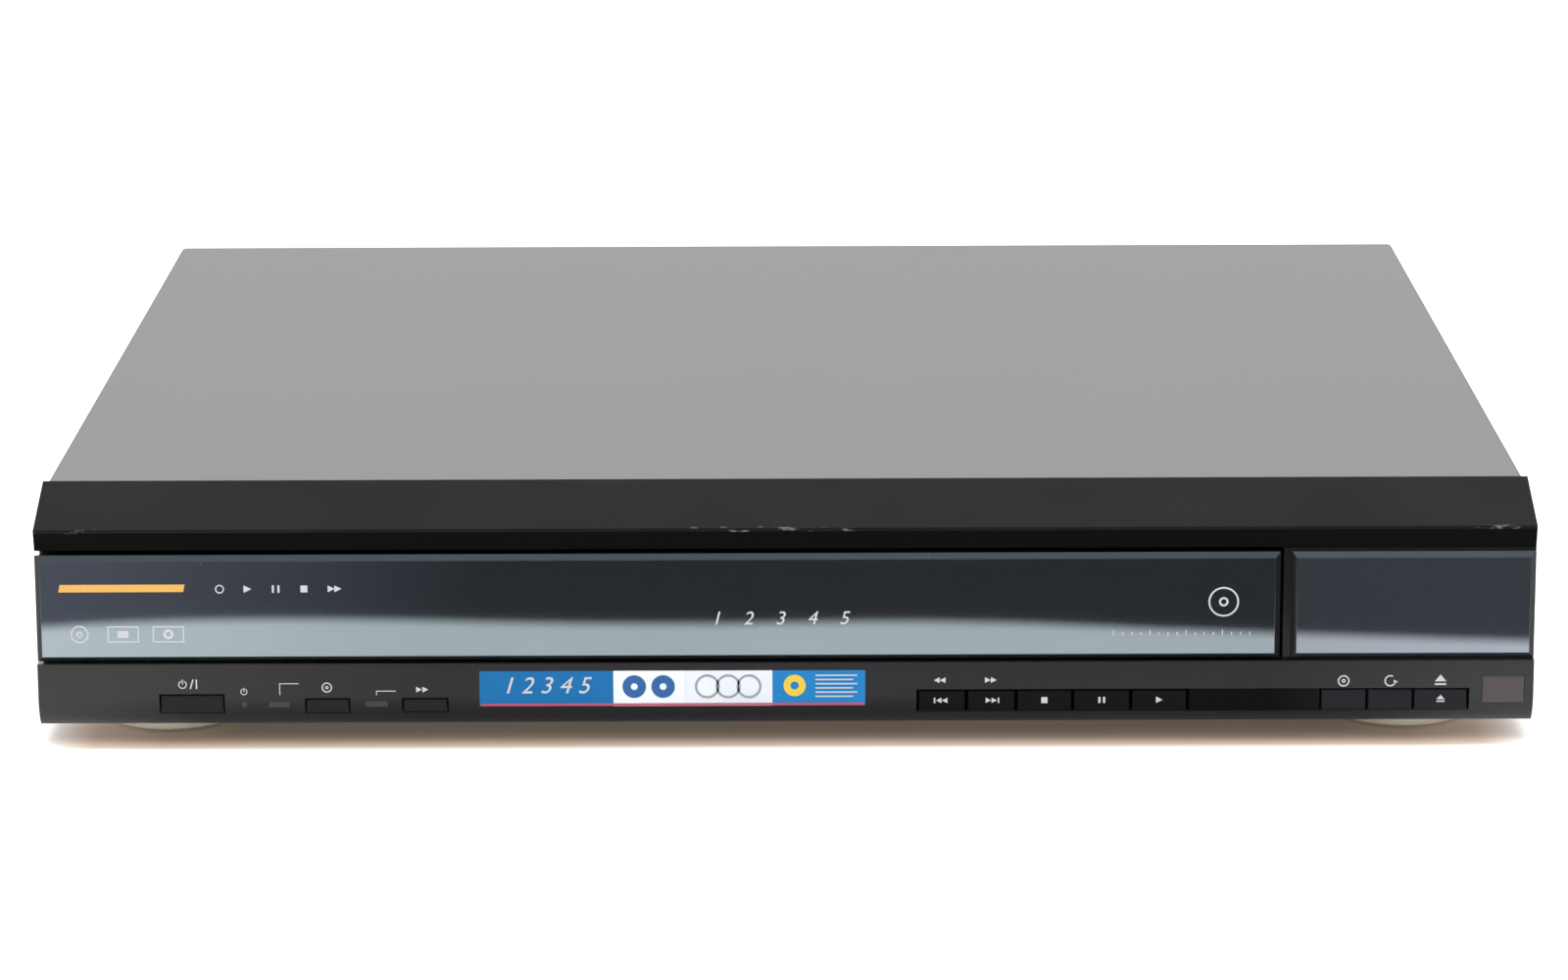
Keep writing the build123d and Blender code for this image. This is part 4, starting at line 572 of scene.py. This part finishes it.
# Plain marks on the door, in mm: a gold rule, numbers for the five wells, disc signs and player signs
doorMarks = {
    "rule": (-208.2, -172.4, 46.1, 48.3), "ruleLean": 0.2,
    "numbers": "1   2   3   4   5", "numbersPlace": (-1.5, 37.6), "numbersHeight": 4.0, "numbersLean": 0.25,
    "numbersSpacing": 1.15,
    "discs": ((125.6, 42.2, 4.4, 3.9, 1.4, 0.8, 12), (-202.5, 33.6, 2.6, 2.2, 0.9, 0.5, 12)),
    "frames": ((-194.5, -185.5, 31.2, 36.0), (-181.5, -172.5, 31.2, 36.0)), "frameRule": 0.35,
    "frameBar": (-191.6, -188.4, 32.6, 34.6), "frameRing": (-177.0, 33.6, 1.5, 0.7, 0, 360, 16),
    # the row beside the rule: a ring, play, pause, stop and skip
    "rowRing": (-162.0, 46.9, 1.3, 0.95, 0, 360, 16),
    "rowArrows": ((-154.0, 46.9, 2.2), (-130.0, 46.9, 2.0), (-128.1, 46.9, 2.0)),
    "rowBars": ((-147.0, -146.4, 45.8, 48.0), (-145.4, -144.8, 45.8, 48.0), (-138.8, -136.8, 45.9, 47.9)),
    "ticks": 16, "tickLeft": 94.0, "tickPitch": 2.6, "tickWidth": 0.3, "tickFoot": 32.4,
    "tickRises": (1.5, 0.9, 0.9, 0.9),
}


def printDoor():
    marks = doorMarks
    printed("doorGoldRule", [slanted(bar(*marks["rule"]), marks["ruleLean"])], "goldInk", "tray")
    numeral("doorNumbers", marks["numbers"], *marks["numbersPlace"], marks["numbersHeight"], "whiteInk",
            "tray", lean=marks["numbersLean"], spacing=marks["numbersSpacing"])
    signs = ring(*marks["frameRing"]) + ring(*marks["rowRing"])
    for sizes in marks["discs"]:
        signs += discSign(*sizes)
    for sizes in marks["frames"]:
        signs += framed(*sizes, marks["frameRule"])
    signs += [arrow(*sizes) for sizes in marks["rowArrows"]]
    signs += [bar(*sizes) for sizes in (marks["frameBar"], *marks["rowBars"])]
    for tick in range(marks["ticks"]):
        left, foot = marks["tickLeft"] + marks["tickPitch"] * tick, marks["tickFoot"]
        signs.append(bar(left, left + marks["tickWidth"], foot, foot + marks["tickRises"][tick % 4]))
    printed("doorSigns", signs, "whiteInk", "tray")


printDoor()

# Plain numbers between the wells of the carousel, read from its rim
wellMarks = {"count": 5, "radius": 147.0, "height": 9.0, "turn": 0.0}


def printWells():
    marks = wellMarks
    low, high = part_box("carousel")
    middle = Matrix.Translation(((low[0] + high[0]) / 2, (low[1] + high[1]) / 2, high[2]))
    for index in range(marks["count"]):
        piece = numeral("wellNumber%d" % (index + 1), str(index + 1), 0.0, 0.0, marks["height"], "greyInk",
                        "carousel", y=0.0)
        angle, far = math.radians(marks["turn"] + 360 * index / marks["count"] - 90), marks["radius"] * mm
        away = Matrix.Translation((far * math.cos(angle), far * math.sin(angle), 0))
        flat = Matrix.Rotation(angle + math.radians(90), 4, "Z") @ Matrix.Rotation(math.radians(-90), 4, "X")
        piece.data.transform(middle @ away @ flat)


printWells()

# Plain signs on the lower face above the keys, in mm
lowerMarks = {
    "powerSigns": ((-173.4, 18.6, 1.25, 0.95, 16, 0.15, 1.5), (-155.8, 16.4, 1.0, 0.75, 14, 0.12, 1.2)),
    "slash": (-171.4, -171.0, 17.3, 20.1), "slashLean": 0.3,
    "bars": ((-169.6, -169.2, 17.3, 20.1), (186.6, 189.9, 17.3, 17.8)),
    # brackets that lead from an indicator to its key
    "brackets": ((-145.6, -140.0, 15.4, 18.9), (-117.8, -112.2, 15.3, 16.6)), "bracketRule": 0.25,
    "discs": ((-131.9, 17.6, 1.5, 1.15, 0.5, 0.2, 10), (160.4, 18.6, 1.7, 1.3, 0.6, 0.25, 10)),
    "arrows": ((-105.4, 16.9, 1.7), (-103.6, 16.9, 1.7), (43.45, 19.2, 1.7, -1), (45.15, 19.2, 1.7, -1),
               (58.15, 19.2, 1.7), (59.85, 19.2, 1.7), (175.4, 18.3, 1.2)),
    "turnArc": (173.8, 18.6, 1.7, 1.3, 60, 340, 20),
    "openSign": ((186.6, 18.4), (189.9, 18.4), (188.25, 20.4)),
}


def printLower():
    marks = lowerMarks
    shapes = [slanted(bar(*marks["slash"]), marks["slashLean"]), marks["openSign"]] + ring(*marks["turnArc"])
    shapes += [bar(*sizes) for sizes in marks["bars"]] + [arrow(*sizes) for sizes in marks["arrows"]]
    for sizes in marks["powerSigns"]:
        shapes += powerSign(*sizes)
    for sizes in marks["discs"]:
        shapes += discSign(*sizes)
    rule = marks["bracketRule"]
    for left, right, foot, top in marks["brackets"]:
        shapes += [bar(left, left + rule, foot, top), bar(left + rule, right, top - rule, top)]
    printed("lowerSigns", shapes, "whiteInk", "root")


# The sign on each key, in mm from the key's middle
keyMarks = {
    "skip_back_button": [bar(-2.3, -1.9, -0.8, 0.8), arrow(-0.9, 0, 1.6, -1), arrow(0.8, 0, 1.6, -1)],
    "skip_forward_button": [bar(1.9, 2.3, -0.8, 0.8), arrow(-0.8, 0, 1.6), arrow(0.9, 0, 1.6)],
    "stop_button": [bar(-0.9, 0.9, -0.9, 0.9)],
    "pause_button": [bar(-1.0, -0.35, -0.9, 0.9), bar(0.35, 1.0, -0.9, 0.9)],
    "play_button": [arrow(0, 0, 1.9)],
    "open_button": [[(-1.2, -0.1), (1.2, -0.1), (0, 1.2)], bar(-1.2, 1.2, -0.9, -0.5)],
}


def printKeys():
    z = (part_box("play_button")[0][2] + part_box("play_button")[1][2]) / 2 / mm
    for key, shapes in keyMarks.items():
        low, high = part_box(key)
        x = (low[0] + high[0]) / 2 / mm
        placed = [[(x + across, z + up) for across, up in shape] for shape in shapes]
        printed(key.replace("_button", "") + "Sign", placed, "whiteInk", key, y=low[1])


# Thin frames round the groups of sockets on the rear panel, with a wave sign at the mains inlet
rearMarks = {
    # the phono jacks, the video and optical sockets, the mains inlet
    "groups": ((-117.2, -92.8, 15.8, 40.2), (-85.0, -51.0, 20.0, 36.0), (165.5, 187.5, 18.0, 32.0)),
    "gap": 3.0, "rule": 0.35,
    "wavePlace": (176.5, 40.5), "waveLength": 6.0, "waveHeight": 1.1, "waveRule": 0.45, "waveSteps": 16,
}


def printRear():
    marks = rearMarks
    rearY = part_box("rear_panel")[1][1]
    gap = marks["gap"]
    shapes = []
    for left, right, low, high in marks["groups"]:
        shapes += framed(left - gap, right + gap, low - gap, high + gap, marks["rule"])
    x, z = marks["wavePlace"]
    wave = []
    for step in range(marks["waveSteps"] + 1):
        share = step / marks["waveSteps"]
        wave.append((x + marks["waveLength"] * (share - 0.5),
                     z + marks["waveHeight"] * math.sin(2 * math.pi * share)))
    for (x0, z0), (x1, z1) in zip(wave, wave[1:]):
        shapes.append([(x0, z0), (x1, z1), (x1, z1 + marks["waveRule"]), (x0, z0 + marks["waveRule"])])
    printed("rearFrames", shapes, "greyInk", "root", y=rearY + inkDepth * mm)


printLower()
printKeys()
printRear()
print("marks printed")

# Plain sticker, in mm: blocks of blue, white and pale blue with rings, and a pink rule along its foot
stickerLook = {
    "shader": {"Roughness": 0.25, "IOR": 1.5, "Specular IOR Level": 0.2},
    "fadeSize": 9.0, "wrinkleSize": 6.0, "wrinkleDepth": 0.2, "wrinkleStrength": 0.4,
    "foot": 11.8, "top": 22.3, "film": 0.12,
    "curveTop": 14.2, "curveRadius": 10.4,  # where the lower face starts to fall back
    "swell": 0.02, "swellAlong": 0.9, "swellUp": 1.3,
    # left, right and the two tones of each block
    "blocks": {
        "stickerBlue": (-88.0, -49.5, "#08659f", "#146aa6"),
        "stickerWhite": (-49.5, -29.2, "#e6e9ee", "#dfe4ea"),
        "stickerPale": (-29.2, -3.8, "#c9d3dd", "#e6e9ee"),
        "stickerSky": (-3.8, 22.9, "#1c7cbb", "#1773b0"),
    },
    "rule": (-87.7, 22.6, 11.9, 12.6), "ruleTones": ("#c9566a", "#b8485c"), "ruleLift": 0.04,
    "numbers": "1 2 3 4 5", "numbersPlace": (-69.0, 17.8), "numbersHeight": 5.0, "numbersLean": 0.3,
    "discs": ((-43.5, 17.6, 3.4, 1.0), (-35.2, 17.6, 3.4, 1.0)), "sun": ((2.6, 17.8, 3.2, 1.2),),
    "rings": ((-22.5, 17.6, 3.6, 2.9), (-16.5, 17.6, 3.6, 2.9), (-10.5, 17.6, 3.6, 2.9)), "printGap": 0.02,
    "lines": 6, "linesLeft": 8.6, "linesRight": 20.6, "linesTop": 20.6, "linePitch": 1.25, "lineRule": 0.4,
    "lineShort": 1.2,
}


def printedVinyl(name, tone, other):
    # glossy printed vinyl, its two tones fading across a block
    look = stickerLook
    material, tree, shader = newMaterial(name, look["shader"])
    place = objectPlace(tree)
    fade = addNode(tree, "TexNoise", {"Scale": 1 / (look["fadeSize"] * mm), "Detail": 1.0}, {"Vector": place})
    mix = addNode(tree, "Mix", {"data_type": "RGBA", 6: linear(tone), 7: linear(other)}, {"Factor": fade})
    wrinkle = addNode(tree, "TexNoise", {"Scale": 1 / (look["wrinkleSize"] * mm), "Detail": 2.0},
                      {"Vector": place})
    bump = addNode(tree, "Bump", {"Strength": look["wrinkleStrength"], "Distance": look["wrinkleDepth"] * mm},
                   {"Height": wrinkle})
    feed(tree, shader, {"Base Color": mix, "Normal": bump})
    return material


def lowerFaceY(z):
    # the lower face is flat down to the start of its curve, then falls back along an arc
    drop = max(0.0, stickerLook["curveTop"] - z)
    radius = stickerLook["curveRadius"]
    return frontY / mm + radius - math.sqrt(radius * radius - drop * drop)


def filmPatch(name, tones, left, right, foot, top, lift=0.0, columns=12, rows=8):
    # a thin closed film laid on the lower face, a little uneven
    look = stickerLook
    build = bmesh.new()
    layers = []
    for depth, swell in ((lift, 0.0), (lift + look["film"], look["swell"])):
        grid = {}
        for row in range(rows + 1):
            z = foot + (top - foot) * row / rows
            for column in range(columns + 1):
                x = left + (right - left) * column / columns
                high = swell * math.sin(look["swellAlong"] * x) * math.sin(look["swellUp"] * z)
                grid[row, column] = build.verts.new((x * mm, (lowerFaceY(z) - depth - high) * mm, z * mm))
        layers.append(grid)
        for row in range(rows):
            for column in range(columns):
                corners = ((row, column), (row, column + 1), (row + 1, column + 1), (row + 1, column))
                build.faces.new([grid[corner] for corner in corners])
    under, over = layers
    rim = [(0, column) for column in range(columns)] + [(row, columns) for row in range(rows)]
    rim += [(rows, columns - column) for column in range(columns)] + [(rows - row, 0) for row in range(rows)]
    for here, after in zip(rim, rim[1:] + rim[:1]):
        build.faces.new((under[here], under[after], over[after], over[here]))
    piece = filmObject(name, build, printedVinyl(name, *tones))
    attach(piece, "root")


def layStickers():
    look = stickerLook
    for name, (left, right, tone, other) in look["blocks"].items():
        filmPatch(name, (tone, other), left, right, look["foot"], look["top"])
    filmPatch("stickerRule", look["ruleTones"], *look["rule"], lift=look["ruleLift"], columns=24, rows=2)
    y = frontY - (look["film"] + look["printGap"]) * mm
    numeral("stickerNumbers", look["numbers"], *look["numbersPlace"], look["numbersHeight"], "whiteInk",
            "root", y=y, lean=look["numbersLean"])
    for name, marks, ink in (("stickerDiscs", "discs", "blueInk"), ("stickerRings", "rings", "greyInk"),
                             ("stickerSun", "sun", "yellowInk")):
        printed(name, [quad for sizes in look[marks] for quad in ring(*sizes)], ink, "root", y=y)
    lines = []
    for line in range(look["lines"]):
        low = look["linesTop"] - look["linePitch"] * line
        right = look["linesRight"] - look["lineShort"] * (line % 2)
        lines.append(bar(look["linesLeft"], right, low, low + look["lineRule"]))
    printed("stickerLines", lines, "whiteInk", "root", y=y)


layStickers()
print("sticker laid")

# Studio floor, in metres. Each range reads: from, to and the two values that it gives there
floorLook = {
    "size": 12.0, "shader": {"Roughness": 0.9, "IOR": 1.3}, "pale": "#f7f7f6", "dark": "#2f2e34",
    "warmShadeTint": "#cfb9a6",
    # how far the pale floor reaches in front of the player, along X
    "paleEdge": ((-0.24, 0.1335), (-0.19, 0.143), (-0.03, 0.1365), (0.05, 0.138), (0.124, 0.1278),
                 (0.165, 0.1213), (0.236, 0.1118)),
    "edgeSpan": 0.5, "edgeReach": 0.25, "edgeSoft": (-0.0065, 0.0065, 0.0, 1.0),
    # the strengths of the dim room and of the pale floor, towards both ends
    "roomLeft": (-0.24, -0.10, 5.2, 0.8), "roomRight": (0.165, 0.225, 0.0, 0.35),
    "paleLeft": (-0.24, -0.12, 1.3, 1.0), "paleRight": (0.15, 0.24, 0.0, 0.15),
    # the shade right under the front, weaker at the ends
    "shadeFront": (frontY - 0.05, frontY, 0.0, 1.0), "shadeEnds": (0.17, 0.21, 0.68, 0.15),
    # the painted warm shade patch under the player
    "warmEnds": (0.2, 0.22, 1.0, 0.0), "warmBack": (frontY + 0.06, frontY + 0.08, 1.0, 0.0),
    "warmFront": (frontY - 0.004, frontY, 0.0, 1.0),
    # painted light: what the camera alone sees on top of the lit floor
    "liftFront": (frontY - 0.015, frontY + 0.005, 0.34, 0.12), "liftEnds": (0.18, 0.212, 0.0, 0.34),
}


def layFloor():
    look = floorLook
    half = look["size"] / 2
    mesh = bpy.data.meshes.new("studioFloor")
    corners = [(x * half, y * half, 0) for x, y in ((-1, -1), (1, -1), (1, 1), (-1, 1))]
    mesh.from_pydata(corners, [], [(0, 1, 2, 3)])
    floor = addObject("studioFloor", mesh)
    material, tree, shader = newMaterial("studioFloor", look["shader"])
    floor.data.materials.append(material)
    ray = addNode(tree, "LightPath")
    place = addNode(tree, "NewGeometry")
    axes = addNode(tree, "SeparateXYZ", links={0: place.outputs["Position"]})
    x, y = axes.outputs["X"], axes.outputs["Y"]
    side = addNode(tree, "Math", {"operation": "ABSOLUTE"}, {0: x})
    # what each range gives at a point of the floor
    part = {}
    for source, names in ((x, ("roomLeft", "roomRight", "paleLeft", "paleRight")),
                          (y, ("shadeFront", "warmBack", "warmFront", "liftFront")),
                          (side, ("shadeEnds", "warmEnds", "liftEnds"))):
        for name in names:
            part[name] = addNode(tree, "MapRange", dict(enumerate(look[name], 1)), {0: source})
    # glossy parts see a pale strip of floor in front of the player and a dim room beyond it
    along = addNode(tree, "MapRange", {1: -look["edgeSpan"] / 2, 2: look["edgeSpan"] / 2}, {0: x})
    reach = addNode(tree, "FloatCurve", links={"Value": along})
    points = reach.mapping.curves[0].points
    for index, (place, far) in enumerate(look["paleEdge"]):
        spot = (place / look["edgeSpan"] + 0.5, far / look["edgeReach"])
        if index < 2:
            points[index].location = spot
        else:
            points.new(*spot)
    reach.mapping.update()
    edgeY = addNode(tree, "MapRange", {3: frontY, 4: frontY - look["edgeReach"]}, {0: reach})
    beyond = addNode(tree, "Math", {"operation": "SUBTRACT"}, {0: edgeY, 1: y})
    dim = addNode(tree, "MapRange", dict(enumerate(look["edgeSoft"], 1)), {0: beyond})
    roomLevel = addNode(tree, "Math", {"operation": "ADD"}, {0: part["roomLeft"], 1: part["roomRight"]})
    room = addNode(tree, "Emission", {"Color": linear(look["dark"])}, {"Strength": roomLevel})
    shade = addNode(tree, "Math", {"operation": "MULTIPLY"}, {0: part["shadeFront"], 1: part["shadeEnds"]})
    lit = addNode(tree, "Math", {"operation": "SUBTRACT", 0: 1.0}, {1: shade})
    paleEnds = addNode(tree, "Math", {"operation": "ADD"}, {0: part["paleLeft"], 1: part["paleRight"]})
    level = addNode(tree, "Math", {"operation": "MULTIPLY"}, {0: lit, 1: paleEnds})
    pale = addNode(tree, "Emission", {"Color": linear(look["pale"])}, {"Strength": level})
    reflected = addNode(tree, "MixShader", links={0: dim, 1: pale, 2: room})
    # painted shade: the floor close under the player, where its shadow falls, is tinted a warm brown
    under = addNode(tree, "Math", {"operation": "MULTIPLY"}, {0: part["warmEnds"], 1: part["warmBack"]})
    under = addNode(tree, "Math", {"operation": "MULTIPLY"}, {0: under, 1: part["warmFront"]})
    shadeTintedTone = addNode(tree, "Mix", {"data_type": "RGBA", 6: linear(look["pale"]), 7: linear(look["warmShadeTint"])},
                     {"Factor": under})
    feed(tree, shader, {"Base Color": shadeTintedTone})
    # painted light: the camera sees the floor lighter in front and under the ends, so that it stays white
    # round the shadow
    lift = addNode(tree, "Math", {"operation": "ADD"}, {0: part["liftFront"], 1: part["liftEnds"]})
    lift = addNode(tree, "Math", {"operation": "MULTIPLY"}, {0: ray.outputs["Is Camera Ray"], 1: lift})
    paintedLightGlow = addNode(tree, "Emission", links={"Color": shadeTintedTone, "Strength": lift})
    lifted = addNode(tree, "AddShader", links={0: shader, 1: paintedLightGlow})
    seen = addNode(tree, "MixShader", links={0: ray.outputs["Is Glossy Ray"], 1: lifted, 2: reflected})
    feed(tree, tree.get_output_node("ALL"), {"Surface": seen})


# Studio light: a white world, one large soft lamp above and a weak one in front
lightLook = {
    "worldLevel": 0.86,
    # what gloss sees from low to high: a white backdrop behind, then a dim ceiling
    "backdrop": ((0.18, 1.26), (0.27, 1.82), (0.42, 1.74), (0.70, 0.30), (0.86, 0.20)), "backdropBlue": 1.01,
    "backdropFoot": (0.30, 0.30, 0.30, 1), "ceiling": (0.15, 0.155, 0.165, 1),
    "darkRoom": (0.06, 0.065, 0.075, 1), "behind": (0.02, 0.24, 0.0, 1.0),
    "zenith": (0.17, 0.175, 0.185, 1), "overhead": (0.86, 0.97, 0.0, 1.0),
    "lamps": {
        "softLampAbove": {"place": (0.0, -0.25, 1.6), "aim": (0, 0, 0), "size": 2.2, "power": 30.0},
        "softLampFront": {"place": (0.0, -2.2, 1.0), "aim": (0, -0.1, 0.05), "size": 1.6, "power": 5.0},
    },
}


def lightStudio():
    look = lightLook
    world = bpy.data.worlds.new("studioWorld")
    bpy.context.scene.world = world
    world.use_nodes = True
    tree = world.node_tree
    tree.nodes.clear()
    ray = addNode(tree, "LightPath")
    way = addNode(tree, "TexCoord")
    axes = addNode(tree, "SeparateXYZ", links={0: way.outputs["Generated"]})
    height = addNode(tree, "ValToRGB", links={"Fac": axes.outputs["Z"]})
    low, high = height.color_ramp.elements
    low.position, low.color = 0.0, look["backdropFoot"]
    high.position, high.color = 1.0, look["ceiling"]
    for position, level in look["backdrop"]:
        element = height.color_ramp.elements.new(position)
        element.color = (level, level, level * look["backdropBlue"], 1)
    # a dark room in front, and a dim patch straight above
    behind = addNode(tree, "MapRange", dict(enumerate(look["behind"], 1)), {0: axes.outputs["Y"]})
    around = addNode(tree, "Mix", {"data_type": "RGBA", 6: look["darkRoom"]}, {"Factor": behind, 7: height})
    overhead = addNode(tree, "MapRange", dict(enumerate(look["overhead"], 1)), {0: axes.outputs["Z"]})
    sky = addNode(tree, "Mix", {"data_type": "RGBA", 7: look["zenith"]}, {"Factor": overhead, 6: around})
    gloss = addNode(tree, "Background", {"Strength": 1.0}, {"Color": sky})
    plain = addNode(tree, "Background", {"Strength": look["worldLevel"], "Color": (1, 1, 1, 1)})
    white = addNode(tree, "Background", {"Strength": 1.0, "Color": (1, 1, 1, 1)})
    soft = addNode(tree, "MixShader", links={0: ray.outputs["Is Glossy Ray"], 1: plain, 2: gloss})
    direct = addNode(tree, "Math", {"operation": "MAXIMUM"},
                     {0: ray.outputs["Is Camera Ray"], 1: ray.outputs["Is Transmission Ray"]})
    seen = addNode(tree, "MixShader", links={0: direct, 1: soft, 2: white})
    addNode(tree, "OutputWorld", links={"Surface": seen})

    for name, sizes in look["lamps"].items():
        lamp = bpy.data.lights.new(name, "AREA")
        lamp.size = sizes["size"]
        lamp.energy = sizes["power"]
        holder = addObject(name, lamp)
        holder.visible_glossy = False
        holder.location = sizes["place"]
        aim = Vector(sizes["aim"]) - Vector(sizes["place"])
        holder.rotation_euler = aim.to_track_quat("-Z", "Y").to_euler()


# Camera from a fit of the cover's four corners and the front's edges in the photograph
cameraLook = {"place": (0.00377, -1.71057, 0.43616), "pitch": 13.380, "yaw": 0.151, "roll": -0.227,
              "focalPixels": 5578.4, "frameWidth": 1600, "sensor": 36.0, "clipStart": 0.05}


def placeCamera():
    look = cameraLook
    pitch, yaw, roll = (math.radians(look[key]) for key in ("pitch", "yaw", "roll"))
    right = Vector((math.cos(yaw), math.sin(yaw), 0))
    level = Vector((-math.sin(yaw), math.cos(yaw), 0))
    ahead = level * math.cos(pitch) - Vector((0, 0, 1)) * math.sin(pitch)
    upward = Vector((0, 0, 1)) * math.cos(pitch) + level * math.sin(pitch)
    leanRight = right * math.cos(roll) + upward * math.sin(roll)
    leanUp = upward * math.cos(roll) - right * math.sin(roll)
    data = bpy.data.cameras.new("photoCamera")
    data.sensor_width = look["sensor"]
    data.lens = look["focalPixels"] / look["frameWidth"] * look["sensor"]
    data.clip_start = look["clipStart"]
    camera = addObject("photoCamera", data)
    turn = Matrix((leanRight, leanUp, -ahead)).transposed().to_4x4()
    camera.matrix_world = Matrix.Translation(look["place"]) @ turn
    bpy.context.scene.camera = camera


layFloor()
lightStudio()
placeCamera()
bpy.context.scene.view_settings.view_transform = "Standard"
print("studio set")
